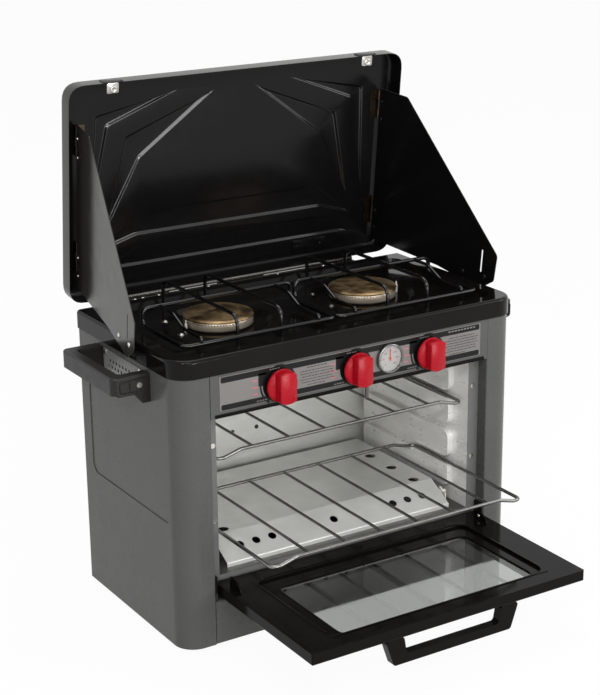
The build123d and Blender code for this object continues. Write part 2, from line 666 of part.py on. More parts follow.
FEED_X = (LINER + SIDE) / 2
FEED_RADIUS = OVEN_BURNER_RADIUS / 2
FEED_Z = CEILING_Z + SHEET + 1.2 * FEED_RADIUS
with BuildPart() as oven_feed:
    feed_y = OVEN_BURNER_Y + FEED_SETBACK
    add_wire([(0, VALVE_BACK, KNOB_Z), (0, feed_y, KNOB_Z), (0, feed_y, FEED_Z),
              (FEED_X, feed_y, FEED_Z), (FEED_X, feed_y, BURNER_PIPE_Z),
              (FEED_X, OVEN_BURNER_Y, BURNER_PIPE_Z), (burner_end, OVEN_BURNER_Y, BURNER_PIPE_Z)],
             2 * FEED_RADIUS, 3.5 * FEED_RADIUS)
keep("oven_feed_pipe", oven_feed.part)


# ---------------------------------------------------------------- cooktop
PAN_WIDTH = CABINET_WIDTH + 2 * SKIRT_LAP
PAN_DEPTH = CABINET_DEPTH + 2 * SKIRT_LAP
dishes = [(-BURNER_SPACING / 2, BURNER_Y), (BURNER_SPACING / 2, BURNER_Y)]
with BuildPart() as pan:
    with BuildSketch(Plane.XY.offset(CABINET_TOP)) as outline:
        Rectangle(PAN_WIDTH, PAN_DEPTH)
        fillet(outline.vertices().group_by(Axis.Y)[0], CORNER_RADIUS + SKIRT_LAP)
        fillet(outline.vertices().group_by(Axis.Y)[-1], BACK_RADIUS + SKIRT_LAP)
    extrude(amount=SKIRT_HEIGHT)
    fillet(pan.faces().sort_by(Axis.Z)[-1].edges(), SKIRT_EDGE - 1)
    with BuildSketch(Plane.XY.offset(RIM_Z)):
        RectangleRounded(PAN_WIDTH - 2 * PAN_RIM, PAN_DEPTH - 2 * PAN_RIM, PAN_CORNER)
    extrude(amount=-PAN_FLOOR_DROP, taper=25, mode=Mode.SUBTRACT)
    with BuildSketch(Plane.XY.offset(PAN_FLOOR_Z)):
        with Locations(*dishes):
            Circle(DISH_RADIUS)
    extrude(amount=-DISH_DROP, taper=DISH_TAPER, mode=Mode.SUBTRACT)
    offset(amount=-SHEET, openings=pan.faces().sort_by(Axis.Z)[0])
    with BuildSketch(Plane.XY.offset(DISH_Z)):
        with Locations(*dishes):
            Circle(VENTURI_RADIUS + 1)
    extrude(amount=-2 * SHEET, mode=Mode.SUBTRACT)
keep("cooktop_pan", pan.part)

BURNER_TOP_Z = DISH_Z + BURNER_BASE_HEIGHT


def burner_base():
    """A burner's body, drawn about X = 0: a cup with a ring of ports round its upper edge."""
    with BuildPart() as base:
        with BuildSketch(Plane.XZ):
            with BuildLine():
                Polyline((0, DISH_Z), (BURNER_FOOT_RADIUS, DISH_Z),
                         (BURNER_RADIUS - 2, DISH_Z + BURNER_BASE_HEIGHT * 0.45),
                         (BURNER_RADIUS - 2, BURNER_TOP_Z), (0, BURNER_TOP_Z), close=True)
            make_face()
        revolve(axis=Axis.Z)
        with BuildSketch(Plane.XY.offset(BURNER_TOP_Z)):
            with PolarLocations(BURNER_RADIUS - 2, BURNER_PORTS):
                Rectangle(4, PORT_SIZE)
        extrude(amount=-PORT_SIZE, mode=Mode.SUBTRACT)
    return base.part


def burner_cap():
    """The shallow domed cap that lies on the burner's body."""
    with BuildPart() as cap:
        with BuildSketch(Plane.XZ):
            with BuildLine():
                Polyline((0, BURNER_TOP_Z), (BURNER_RADIUS, BURNER_TOP_Z),
                         (BURNER_RADIUS, BURNER_TOP_Z + 2.5),
                         (BURNER_RADIUS - 3.5, BURNER_TOP_Z + BURNER_CAP_HEIGHT - 1.2),
                         (BURNER_RADIUS * 0.6, BURNER_TOP_Z + BURNER_CAP_HEIGHT),
                         (0, BURNER_TOP_Z + BURNER_CAP_HEIGHT), close=True)
            make_face()
        revolve(axis=Axis.Z)
    return cap.part


burner_places = [Location((*dish, 0)) for dish in dishes]
keep("burner_bases", Compound([burner_base().moved(place) for place in burner_places]))
keep("burner_caps", Compound([burner_cap().moved(place) for place in burner_places]))

with BuildPart() as electrodes:
    for sign in SIDES.values():
        x = sign * (BURNER_SPACING / 2 + BURNER_RADIUS + ELECTRODE_GAP + ELECTRODE_RADIUS)
        y = BURNER_Y - 8
        add_rod((x, y, DISH_Z), (x, y, BURNER_TOP_Z), ELECTRODE_RADIUS)
        add_rod((x, y, BURNER_TOP_Z), (x, y, BURNER_TOP_Z + 5), ELECTRODE_RADIUS / 2)
    igniter_y = BAFFLE_Y1 - 18
    with BuildSketch(Plane.YZ.offset(BAFFLE_WIDTH / 2 + 3)):
        with Locations((igniter_y, FLOOR_Z + 9)):
            Rectangle(26, 18)
        with Locations((igniter_y, FLOOR_Z + 18)):
            Circle(5)
    extrude(amount=1.5)
    add_rod((BAFFLE_WIDTH / 2 - 4, igniter_y, FLOOR_Z + 15),
            (BAFFLE_WIDTH / 2 + 12, igniter_y, FLOOR_Z + 15), 2.5)
keep("igniter_electrodes", electrodes.part)

with BuildPart() as venturis:
    for sign in SIDES.values():
        x = sign * KNOB_SPACING
        y = VALVE_BACK
        add_wire([(x, y, KNOB_Z), (x, BURNER_Y, KNOB_Z), (x, BURNER_Y, DISH_Z)],
                 2 * VENTURI_RADIUS, VENTURI_BEND)
keep("burner_venturis", venturis.part)

# ---------------------------------------------------------------- grates
FRAME_Z = PAN_FLOOR_Z + GRATE_FOOT
POT_Z = FRAME_Z + GRATE_RISE


def grate():
    """One burner's wire grate, drawn about X = 0: a front bar, a loop each side, two pot wires."""
    with BuildPart() as body:
        add_rod((GRATE_CORNER - GRATE_HALF, GRATE_FRONT, FRAME_Z),
                (GRATE_HALF - GRATE_CORNER, GRATE_FRONT, FRAME_Z), FRONT_BAR / 2)
        for sign in SIDES.values():
            # from the front bar round the corner to the back, and forward again beside the burner
            add_wire(
                [(sign * x, y, FRAME_Z) for x, y in (
                    (GRATE_HALF - GRATE_CORNER - FRONT_BAR, GRATE_FRONT),
                    (GRATE_HALF, GRATE_FRONT), (GRATE_HALF, LOOP_BEND_Y),
                    (LOOP_INNER_BACK + LOOP_END, LOOP_BACK), (LOOP_INNER_BACK, LOOP_BACK),
                    (LOOP_INNER_FRONT, LOOP_WAIST_Y), (LOOP_INNER_FRONT, GRATE_FRONT))],
                LOOP_WIRE, (GRATE_CORNER, 2 * GRATE_CORNER, LOOP_END / 2, LOOP_END / 2, 2 * GRATE_CORNER))
            # the pot wire, an arch from the front bar to the cooktop's back rim
            pot = sign * POT_WIRE_SPACING / 2
            add_wire([(pot, GRATE_FRONT, FRAME_Z), (pot, GRATE_FRONT, POT_Z),
                      (pot, GRATE_BACK, POT_Z), (pot, GRATE_BACK, RIM_Z + SEAT)],
                     POT_WIRE, 2 * POT_WIRE)
            for x, y in ((GRATE_HALF, GRATE_FRONT + 1.6 * GRATE_CORNER), (LOOP_INNER_FRONT, LOOP_FOOT_Y)):
                add_rod((sign * x, y, PAN_FLOOR_Z + SEAT), (sign * x, y, FRAME_Z), POT_WIRE / 2)
    return body.part


for name, sign in SIDES.items():
    keep(f"grate_{name}", grate().moved(Location((sign * BURNER_SPACING / 2, 0, 0))))

# ---------------------------------------------------------------- lid and its hinge
LID_PRESSES = (
    ((98, 288), (222, 264), (212, 248)),
    ((217, 256), (230, 110), (192, 244)),
    ((46, 282), (170, 230), (150, 202)),
    ((177, 220), (205, 95), (152, 196)),
)
LID_BAND = ((-160, 114), (160, 114), (215, 59), (160, 81), (-160, 81), (-215, 59))
LID_PLATE = (300, 37, 54)   # width, height and the middle's height up the lid

with BuildPart() as lid_shell:
    with BuildSketch(LID.offset(-LID_RIM_OFFSET)):
        with Locations((0, LID_LENGTH / 2)):
            RectangleRounded(LID_WIDTH, LID_LENGTH, LID_CORNER)
    extrude(amount=-LID_DEPTH)
    back_face = lid_shell.faces().sort_by(lambda face: (face.center() - LID.origin).dot(LID.z_dir))[0]
    fillet(back_face.edges(), LID_EDGE)
    rim = lid_shell.faces().sort_by(lambda face: (face.center() - LID.origin).dot(LID.z_dir))[-1]
    offset(amount=-SHEET, openings=rim)
    # the pattern pressed into the lid's back stands out on its inside
    with BuildSketch(LID.offset(LID_BACK + SHEET)) as raised:
        for corners in LID_PRESSES:
            Polygon(*corners, align=None)
            Polygon(*[(-x, y) for x, y in reversed(corners)], align=None)
        Polygon(*LID_BAND, align=None)
        with Locations((0, LID_PLATE[2])):
            RectangleRounded(LID_PLATE[0], LID_PLATE[1], 6)
    extrude(amount=LID_RIB)
keep("lid_shell", lid_shell.part)

knuckle_length = (LID_HINGE_LENGTH - (LID_KNUCKLES - 1) * KNUCKLE_GAP) / LID_KNUCKLES
knuckle_starts = [n * (knuckle_length + KNUCKLE_GAP) - LID_HINGE_LENGTH / 2 for n in range(LID_KNUCKLES)]
LEAF_CLEAR = KNUCKLE_RADIUS + 2 * KNUCKLE_GAP

with BuildPart() as hinge_base:
    skirt_back = BACK + SKIRT_LAP
    leaf_z = LID_AXIS_Z - KNUCKLE_RADIUS
    with BuildSketch(Plane.YZ.offset(-LID_HINGE_LENGTH / 2)):
        with BuildLine():
            Polyline((skirt_back, leaf_z - LEAF_WIDTH), (skirt_back + LEAF, leaf_z - LEAF_WIDTH),
                     (skirt_back + LEAF, leaf_z), (LID_AXIS_Y - LEAF_CLEAR, leaf_z),
                     (LID_AXIS_Y - LEAF_CLEAR, leaf_z + LEAF), (skirt_back, leaf_z + LEAF), close=True)
        make_face()
    extrude(amount=LID_HINGE_LENGTH)
    for start in knuckle_starts[::2]:
        with BuildSketch(Plane.YZ.offset(start)):
            with Locations((LID_AXIS_Y, LID_AXIS_Z)):
                Circle(KNUCKLE_RADIUS)
            with Locations((LID_AXIS_Y - LEAF_CLEAR / 2, leaf_z + LEAF / 2)):
                Rectangle(LEAF_CLEAR, LEAF)
        extrude(amount=knuckle_length)
    pin_end = LID_HINGE_LENGTH / 2
    add_rod((-pin_end, LID_AXIS_Y, LID_AXIS_Z), (pin_end, LID_AXIS_Y, LID_AXIS_Z), LID_PIN_RADIUS)
keep("lid_hinge_base", hinge_base.part)

# the lid's own leaf, drawn across the lid: here x runs up the lid and y to the front
LID_SECTION = Plane(origin=LID.origin, x_dir=LID.y_dir, z_dir=LID.x_dir)
with BuildPart() as hinge_leaf:
    leaf_end = LID_RIM_OFFSET + LEAF_WIDTH
    with BuildSketch(LID_SECTION.offset(-LID_HINGE_LENGTH / 2)):
        with Locations((-LEAF / 2, -(LEAF_CLEAR + leaf_end) / 2)):
            Rectangle(LEAF, leaf_end - LEAF_CLEAR)
    extrude(amount=LID_HINGE_LENGTH)
    for start in knuckle_starts[1::2]:
        with BuildSketch(LID_SECTION.offset(start)):
            Circle(KNUCKLE_RADIUS)
            with Locations((-LEAF / 2, -LEAF_CLEAR / 2)):
                Rectangle(LEAF, LEAF_CLEAR)
            Circle(LID_PIN_RADIUS + BORE_CLEARANCE, mode=Mode.SUBTRACT)
        extrude(amount=knuckle_length)
keep("lid_hinge_leaf", hinge_leaf.part)

with BuildPart() as catches:
    catch_edge = -LID_RIM_OFFSET
    for sign in SIDES.values():
        with BuildSketch(LID_SECTION.offset(sign * CATCH_X - CATCH_WIDTH / 2)):
            with BuildLine():
                Polyline((LID_LENGTH - CATCH_LENGTH, catch_edge), (LID_LENGTH, catch_edge),
                         (LID_LENGTH, catch_edge - CATCH_LENGTH),
                         (LID_LENGTH + 1.5, catch_edge - CATCH_LENGTH),
                         (LID_LENGTH + 1.5, catch_edge + 1.5),
                         (LID_LENGTH - CATCH_LENGTH, catch_edge + 1.5), close=True)
            make_face()
        extrude(amount=CATCH_WIDTH)
keep("lid_catches", catches.part)

# ---------------------------------------------------------------- windscreens
FLARE = radians(SCREEN_FLARE)
SCREEN_AXIS = LID.from_local_coords((SCREEN_AXIS_X, 0, -SCREEN_AXIS_DEPTH))
screen_forward = LID.z_dir * cos(FLARE) + LID.x_dir * sin(FLARE)
# the right screen's plane: x away from its hinge, y up the lid
SCREEN = Plane(origin=SCREEN_AXIS, x_dir=screen_forward, z_dir=screen_forward.cross(LID.y_dir))
KNUCKLE_RUN = SCREEN_HINGE / 3


def upright(plane, height):
    """A plane across a windscreen's hinge line, the given way up the lid."""
    return Plane(origin=plane.origin + LID.y_dir * height, x_dir=plane.x_dir, z_dir=LID.y_dir)


with BuildPart() as screen:
    depth, low, high, width = SCREEN_SLOT
    with BuildSketch(SCREEN.offset(-SCREEN_SHEET / 2)) as blank:
        with BuildLine():
            Polyline((SCREEN_KNUCKLE_RADIUS + 0.7, SCREEN_REAR_BOTTOM),
                     (SCREEN_BEND_DEPTH, SCREEN_REAR_BOTTOM), (SCREEN_TIP_DEPTH, SCREEN_TIP),
                     (SCREEN_REACH - 2.5, SCREEN_NOSE), (SCREEN_REACH, SCREEN_KINK),
                     (SCREEN_TOP_DEPTH, SCREEN_TOP), (SCREEN_KNUCKLE_RADIUS + 0.7, SCREEN_TOP),
                     close=True)
        make_face()
        fillet(blank.vertices().sort_by(lambda corner: SCREEN.to_local_coords(corner).X)[-5:], 8)
        with Locations((depth, (low + high) / 2)):
            SlotOverall(high - low, width, rotation=90, mode=Mode.SUBTRACT)
        for start in SCREEN_HINGE_HEIGHTS:
            with Locations((SCREEN_KNUCKLE_RADIUS, start + SCREEN_HINGE / 2)):
                Rectangle(2 * SCREEN_KNUCKLE_RADIUS, KNUCKLE_RUN - 2 * KNUCKLE_GAP)
    extrude(amount=SCREEN_SHEET)
    for start in SCREEN_HINGE_HEIGHTS:
        with BuildSketch(upright(SCREEN, start + KNUCKLE_RUN + KNUCKLE_GAP)):
            Circle(SCREEN_KNUCKLE_RADIUS)
        extrude(amount=KNUCKLE_RUN - 2 * KNUCKLE_GAP)
        with BuildSketch(upright(SCREEN, start)):
            Circle(SCREEN_PIN_RADIUS + BORE_CLEARANCE)
        extrude(amount=SCREEN_HINGE, mode=Mode.SUBTRACT)
keep("windscreen_right", screen.part)
keep("windscreen_left", mirrored(screen.part))

SCREEN_LEAF = SCREEN_AXIS_DEPTH + LID_BACK + SHEET     # from the hinge line to the lid's inside
with BuildPart() as screen_hinges:
    for start in SCREEN_HINGE_HEIGHTS:
        for run in (0, 2 * KNUCKLE_RUN):
            foot = Plane(origin=SCREEN_AXIS + LID.y_dir * (start + run), x_dir=LID.x_dir, z_dir=LID.y_dir)
            with BuildSketch(foot):
                Circle(SCREEN_KNUCKLE_RADIUS)
                with Locations((-SCREEN_KNUCKLE_RADIUS / 2, -SCREEN_LEAF / 2)):
                    Rectangle(SCREEN_KNUCKLE_RADIUS, -SCREEN_LEAF)
            extrude(amount=KNUCKLE_RUN)
        add_rod(SCREEN_AXIS + LID.y_dir * start, SCREEN_AXIS + LID.y_dir * (start + SCREEN_HINGE),
                SCREEN_PIN_RADIUS)
        with BuildSketch(LID.offset(LID_BACK + SHEET)):
            with Locations((SCREEN_AXIS_X - 7, start + SCREEN_HINGE / 2)):
                Rectangle(14, SCREEN_HINGE)
        extrude(amount=LEAF)
keep("screen_hinges", Compound([screen_hinges.part, mirrored(screen_hinges.part)]))

with BuildPart() as screen_clips:
    skirt_side = SIDE + SKIRT_LAP
    tip = SCREEN.origin + SCREEN.x_dir * (SCREEN_TIP_DEPTH + 8)
    clip_reach = tip.X - SCREEN_SHEET / 2 - 2 * SEAT
    for sign in SIDES.values():
        with BuildSketch(Plane.XY.offset(CABINET_TOP + 2)):
            with Locations((sign * (skirt_side + LEAF / 2), CLIP_Y)):
                Rectangle(LEAF, 2 * CLIP_WIDTH)
        extrude(amount=CLIP_HEIGHT - 6)
        with BuildSketch(Plane.XY.offset(RIM_Z - 10)):
            with Locations((sign * (skirt_side + clip_reach) / 2, CLIP_Y)):
                Rectangle(clip_reach - skirt_side, CLIP_WIDTH)
        extrude(amount=1.5)
keep("screen_clips", screen_clips.part)

# ---------------------------------------------------------------- side handles and vents
HANDLE_TOP_Z = UNDERSIDE + HANDLE_TOP
with BuildPart() as side_handle:
    with BuildSketch(Plane.XY.offset(HANDLE_TOP_Z - HANDLE_ROOT)) as plan:
        with Locations((SIDE + HANDLE_OUT / 2, (HANDLE_FRONT + HANDLE_BACK) / 2)):
            Rectangle(HANDLE_OUT, HANDLE_BACK - HANDLE_FRONT)
        fillet(plan.vertices().group_by(Axis.X)[-1], HANDLE_CORNER)
    extrude(amount=HANDLE_ROOT)
    with BuildSketch(Plane.XY.offset(HANDLE_TOP_Z - HANDLE_ROOT)) as inside:
        with Locations((SIDE + (HANDLE_OUT - HANDLE_WALL) / 2, (HANDLE_FRONT + HANDLE_BACK) / 2)):
            Rectangle(HANDLE_OUT - HANDLE_WALL, HANDLE_BACK - HANDLE_FRONT - 2 * HANDLE_WALL)
        fillet(inside.vertices().group_by(Axis.X)[-1], HANDLE_CORNER / 2)
    extrude(amount=HANDLE_ROOT, mode=Mode.SUBTRACT)
    with BuildSketch(Plane.XZ.offset(-HANDLE_BACK)) as below:
        with BuildLine():
            Polyline((SIDE + 12, HANDLE_TOP_Z - HANDLE_ROOT), (SIDE + 26, HANDLE_TOP_Z - HANDLE_GRIP),
                     (SIDE + HANDLE_OUT, HANDLE_TOP_Z - HANDLE_GRIP),
                     (SIDE + HANDLE_OUT, HANDLE_TOP_Z - HANDLE_ROOT), close=True)
        make_face()
    extrude(amount=HANDLE_BACK - HANDLE_FRONT, mode=Mode.SUBTRACT)
    top = side_handle.faces().sort_by(Axis.Z)[-1]
    fillet(top.edges(), 2.5)
    with BuildSketch(Plane.XZ.offset(-HANDLE_FRONT)):
        with Locations((SIDE + 17, HANDLE_TOP_Z - HANDLE_GRIP / 2 - 1)):
            RectangleRounded(26, HANDLE_GRIP - 8, 4)
    extrude(amount=1.5)
keep("side_handle_right", side_handle.part)
keep("side_handle_left", mirrored(side_handle.part))

VENT_HEIGHT = VENT_TOP - VENT_BOTTOM
vent_middle = ((VENT_Y0 + VENT_Y1) / 2, UNDERSIDE + (VENT_BOTTOM + VENT_TOP) / 2)
with BuildPart() as vent_plate:
    with BuildSketch(Plane.YZ.offset(SIDE)):
        with Locations(vent_middle):
            RectangleRounded(VENT_Y1 - VENT_Y0, VENT_HEIGHT, 3)
        with Locations(vent_middle):
            for row in (-1, 0, 1):
                count = 10 - abs(row)
                with Locations((0, row * VENT_PITCH * 0.87)):
                    with GridLocations(VENT_PITCH, 1, count, 1):
                        RegularPolygon(VENT_RADIUS, 8, mode=Mode.SUBTRACT)
    extrude(amount=SHEET)
keep("vent_plates", Compound([vent_plate.part, mirrored(vent_plate.part)]))

with BuildPart() as screws:
    for sign in SIDES.values():
        out = Plane.YZ.offset(SIDE + SHEET) if sign > 0 else Plane.YZ.offset(-SIDE - SHEET - SCREW_HEIGHT)
        with BuildSketch(out):
            with Locations(vent_middle):
                with GridLocations(VENT_Y1 - VENT_Y0 - 10, VENT_HEIGHT - 8, 2, 2):
                    Circle(SCREW_RADIUS)
        extrude(amount=SCREW_HEIGHT)
    with BuildSketch(Plane.XZ.offset(-FRAME_Y)):
        with Locations((0, UNDERSIDE + (PRESS_BOTTOM + PRESS_TOP) / 2 - 21)):
            with GridLocations(LINER_WIDTH + 12, 108, 2, 2):
                Circle(SCREW_RADIUS)
    extrude(amount=SCREW_HEIGHT)
    with BuildSketch(Plane.XZ.offset(-(HANDLE_FRONT - 1.5))):
        with Locations((0, HANDLE_TOP_Z - HANDLE_GRIP / 2 - 1)):
            with GridLocations(2 * (SIDE + 17), 1, 2, 1):
                Circle(BOLT_RADIUS)
    extrude(amount=SCREW_HEIGHT)
keep("case_screws", screws.part)

# ---------------------------------------------------------------- oven door, drawn open
DOOR_OUTER_Z = DOOR_INNER_Z - DOOR_THICKNESS
DOOR_Y0 = DOOR_PIVOT_Y - DOOR_LENGTH
DOOR_Y1 = DOOR_PIVOT_Y + DOOR_PIVOT_RISE
DOOR_MIDDLE = (DOOR_Y0 + DOOR_Y1) / 2
RECESS_MIDDLE = DOOR_PIVOT_Y - WINDOW_START - WINDOW_HEIGHT / 2
GLASS_MIDDLE = DOOR_PIVOT_Y - GLASS_START - GLASS_HEIGHT / 2

with BuildPart() as door_pan:
    with BuildSketch(Plane.XY.offset(DOOR_OUTER_Z)):
        with Locations((0, DOOR_MIDDLE)):
            Rectangle(DOOR_WIDTH, DOOR_Y1 - DOOR_Y0)
    extrude(amount=DOOR_THICKNESS)
    fillet(door_pan.edges().filter_by(Axis.Z), DOOR_EDGE)
    fillet(door_pan.faces().sort_by(Axis.Z)[0].edges(), DOOR_EDGE)
    offset(amount=-SHEET, openings=door_pan.faces().sort_by(Axis.Z)[-1])
    with BuildSketch(Plane.XY.offset(DOOR_OUTER_Z)):
        with Locations((0, GLASS_MIDDLE)):
            RectangleRounded(GLASS_WIDTH, GLASS_HEIGHT, 6)
    extrude(amount=2 * SHEET, mode=Mode.SUBTRACT)
    with BuildSketch(Plane.YZ.offset(-DOOR_WIDTH / 2)):
        with Locations((DOOR_PIVOT_Y, DOOR_PIVOT_Z)):
            Circle(DOOR_PIN_RADIUS + BORE_CLEARANCE)
    extrude(amount=DOOR_WIDTH, mode=Mode.SUBTRACT)
keep("door_pan", door_pan.part)

with BuildPart() as door_liner:
    with BuildSketch(Plane.XY.offset(DOOR_INNER_Z)) as inner_outline:
        with Locations((0, DOOR_MIDDLE)):
            RectangleRounded(DOOR_WIDTH - 2 * SHEET, DOOR_Y1 - DOOR_Y0 - 2 * SHEET, DOOR_EDGE - SHEET)
    extrude(amount=-SHEET)
    with BuildSketch(Plane.XY.offset(DOOR_INNER_Z)):
        with Locations((0, RECESS_MIDDLE)):
            Rectangle(WINDOW_WIDTH + 2 * SHEET, WINDOW_HEIGHT + 2 * SHEET)
    extrude(amount=-WINDOW_RECESS - SHEET)
    with BuildSketch(Plane.XY.offset(DOOR_INNER_Z)):
        with Locations((0, RECESS_MIDDLE)):
            Rectangle(WINDOW_WIDTH, WINDOW_HEIGHT)
    extrude(amount=-WINDOW_RECESS, mode=Mode.SUBTRACT)
    with BuildSketch(Plane.XY.offset(DOOR_INNER_Z)):
        with Locations((0, GLASS_MIDDLE)):
            RectangleRounded(GLASS_WIDTH, GLASS_HEIGHT, 6)
    extrude(amount=-DOOR_THICKNESS / 2, mode=Mode.SUBTRACT)
keep("door_liner", door_liner.part)

GLASS_TOP_Z = DOOR_INNER_Z - WINDOW_RECESS - SHEET
with BuildPart() as glass:
    with BuildSketch(Plane.XY.offset(GLASS_TOP_Z)):
        with Locations((0, GLASS_MIDDLE)):
            Rectangle(GLASS_WIDTH + 2 * GLASS_LAP, GLASS_HEIGHT + 2 * GLASS_LAP)
    extrude(amount=-GLASS_THICKNESS)
keep("door_glass", glass.part)

with BuildPart() as retainer:
    with BuildSketch(Plane.XY.offset(GLASS_TOP_Z - GLASS_THICKNESS)):
        with Locations((0, GLASS_MIDDLE)):
            Rectangle(GLASS_WIDTH + 2 * RETAINER_WIDTH, GLASS_HEIGHT + 2 * RETAINER_WIDTH)
            Rectangle(GLASS_WIDTH, GLASS_HEIGHT, mode=Mode.SUBTRACT)
    extrude(amount=-RETAINER_THICKNESS)
keep("door_glass_retainer", retainer.part)

PULL_Y0 = DOOR_Y0 + PULL_SETBACK
with BuildPart() as door_pull:
    half = PULL_LENGTH / 2
    with BuildSketch(Plane.XZ.offset(-(PULL_Y0 + PULL_BAR))) as outline:
        with BuildLine():
            Polyline((-half, DOOR_OUTER_Z), (-half + PULL_TAPER, DOOR_OUTER_Z - PULL_REACH),
                     (half - PULL_TAPER, DOOR_OUTER_Z - PULL_REACH), (half, DOOR_OUTER_Z),
                     (half - PULL_FOOT, DOOR_OUTER_Z),
                     (half - PULL_FOOT - PULL_TAPER / 3, DOOR_OUTER_Z - PULL_REACH + PULL_BAR),
                     (-half + PULL_FOOT + PULL_TAPER / 3, DOOR_OUTER_Z - PULL_REACH + PULL_BAR),
                     (-half + PULL_FOOT, DOOR_OUTER_Z), close=True)
        make_face()
        fillet(outline.vertices().group_by(Axis.Z)[0], 5)
    extrude(amount=PULL_BAR)
keep("door_pull", door_pull.part)

with BuildPart() as hinge_brackets:
    for sign in SIDES.values():
        plate_x = OPENING - HINGE_PLATE if sign > 0 else -OPENING
        with BuildSketch(Plane.YZ.offset(plate_x)):
            with Locations(((FRONT + FRAME_Y) / 2, KICK_TOP + HINGE_PLATE_HEIGHT / 2)):
                Rectangle(RECESS_DEPTH, HINGE_PLATE_HEIGHT)
        extrude(amount=HINGE_PLATE)
        add_rod((sign * (OPENING - HINGE_PLATE), DOOR_PIVOT_Y, DOOR_PIVOT_Z),
                (sign * (DOOR_WIDTH / 2 - DOOR_PIN_REACH), DOOR_PIVOT_Y, DOOR_PIVOT_Z), DOOR_PIN_RADIUS)
keep("door_hinge_brackets", hinge_brackets.part)

# ---------------------------------------------------------------- racks


def rack(front, height):
    """A wire rack: a loop whose ends step up to the platform, and bars from front to back."""
    half = RACK_WIDTH / 2
    back = front + RACK_DEPTH
    turn = 1.5 * RACK_CORNER
    with BuildPart() as body:
        add_wire([(-half, front, height), (-half, back, height), (-half + turn, back, height),
                  (-half + turn + RACK_SLOPE, back, height + RACK_STEP),
                  (half - turn - RACK_SLOPE, back, height + RACK_STEP), (half - turn, back, height),
                  (half, back, height), (half, front, height), (half - turn, front, height),
                  (half - turn - RACK_SLOPE, front, height + RACK_STEP),
                  (-half + turn + RACK_SLOPE, front, height + RACK_STEP), (-half + turn, front, height)],
                 RACK_WIRE, RACK_CORNER, closed=True)
        for n in range(RACK_BARS):
            x = (n - (RACK_BARS - 1) / 2) * RACK_BAR_PITCH
            add_rod((x, front, height + RACK_STEP), (x, back, height + RACK_STEP), RACK_BAR / 2)
    return body.part


RACK_HOME = FRAME_Y + RACK_SETBACK
keep("rack_upper", rack(RACK_HOME, guide_heights[UPPER_GUIDE]))
keep("rack_lower", rack(RACK_HOME - RACK_OUT, guide_heights[0]))

# ---------------------------------------------------------------- write the pieces
boxes = [piece.bounding_box() for piece in pieces.values()]
middle_y = (min(box.min.Y for box in boxes) + max(box.max.Y for box in boxes)) / 2
for name, piece in pieces.items():
    standing = piece.moved(Location((0, -middle_y, 0)))
    standing.label = name
    export_step(standing, f"parts/{name}.step")
print(f"{len(pieces)} pieces, moved by {-middle_y:.3f} mm along Y")
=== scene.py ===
import math
import random

import bpy
import bmesh
from mathutils import Matrix, Vector
from mathutils.geometry import tessellate_polygon


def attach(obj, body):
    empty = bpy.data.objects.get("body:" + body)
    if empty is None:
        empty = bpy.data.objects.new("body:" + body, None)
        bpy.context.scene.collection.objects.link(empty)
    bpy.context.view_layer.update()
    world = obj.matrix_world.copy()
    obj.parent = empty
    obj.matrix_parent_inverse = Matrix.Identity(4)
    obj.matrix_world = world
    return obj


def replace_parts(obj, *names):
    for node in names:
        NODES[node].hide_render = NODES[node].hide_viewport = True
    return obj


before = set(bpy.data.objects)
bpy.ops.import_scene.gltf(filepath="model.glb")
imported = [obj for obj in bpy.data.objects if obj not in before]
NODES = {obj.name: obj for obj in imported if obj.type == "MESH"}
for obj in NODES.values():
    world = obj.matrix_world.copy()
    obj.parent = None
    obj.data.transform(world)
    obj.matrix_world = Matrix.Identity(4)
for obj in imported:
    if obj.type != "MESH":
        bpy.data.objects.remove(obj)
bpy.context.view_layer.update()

# ---------------------------------------------------------------- places, in the part's millimetres
SHIFT = 89.958              # how far part.py moves everything along Y
LEAN, FLARE = math.radians(6.24), math.radians(9.2)


def place(x, y, z):
    """A point of the part in the shared frame, in metres."""
    return Vector((x, y + SHIFT, z)) / 1000


UP = Vector((0, -math.sin(LEAN), math.cos(LEAN)))
AHEAD = Vector((0, -math.cos(LEAN), -math.sin(LEAN)))
SIDEWAYS = Vector((1, 0, 0))


def axes(origin, x, y, z):
    return Matrix.Translation(origin) @ Matrix((x, y, z)).transposed().to_4x4()


# the open lid: x across, y up along it and z out of its inside, from the hinge axis
LID_FRAME = axes(Vector((0, 164.5, 417)), SIDEWAYS, UP, AHEAD)


def lid_point(x, y, z):
    return tuple(LID_FRAME @ Vector((x, y, z)))


def screen_frame(sign):
    """A windscreen: x away from its hinge, y up along it and z through its sheet."""
    forward = AHEAD * math.cos(FLARE) + SIDEWAYS * (sign * math.sin(FLARE))
    origin = Vector(lid_point(sign * 253, 0, -28.5))
    return axes(origin, forward, UP, forward.cross(UP))

# ---------------------------------------------------------------- camera
CAMERA_PLACE = Vector((-1.22839, -1.88226, 1.10682))
YAW, PITCH, ROLL = math.radians(31.965), math.radians(-18.026), math.radians(-0.63)
SENSOR = 36.0
FOCAL_PIXELS, IMAGE_HEIGHT = 1710.306, 695

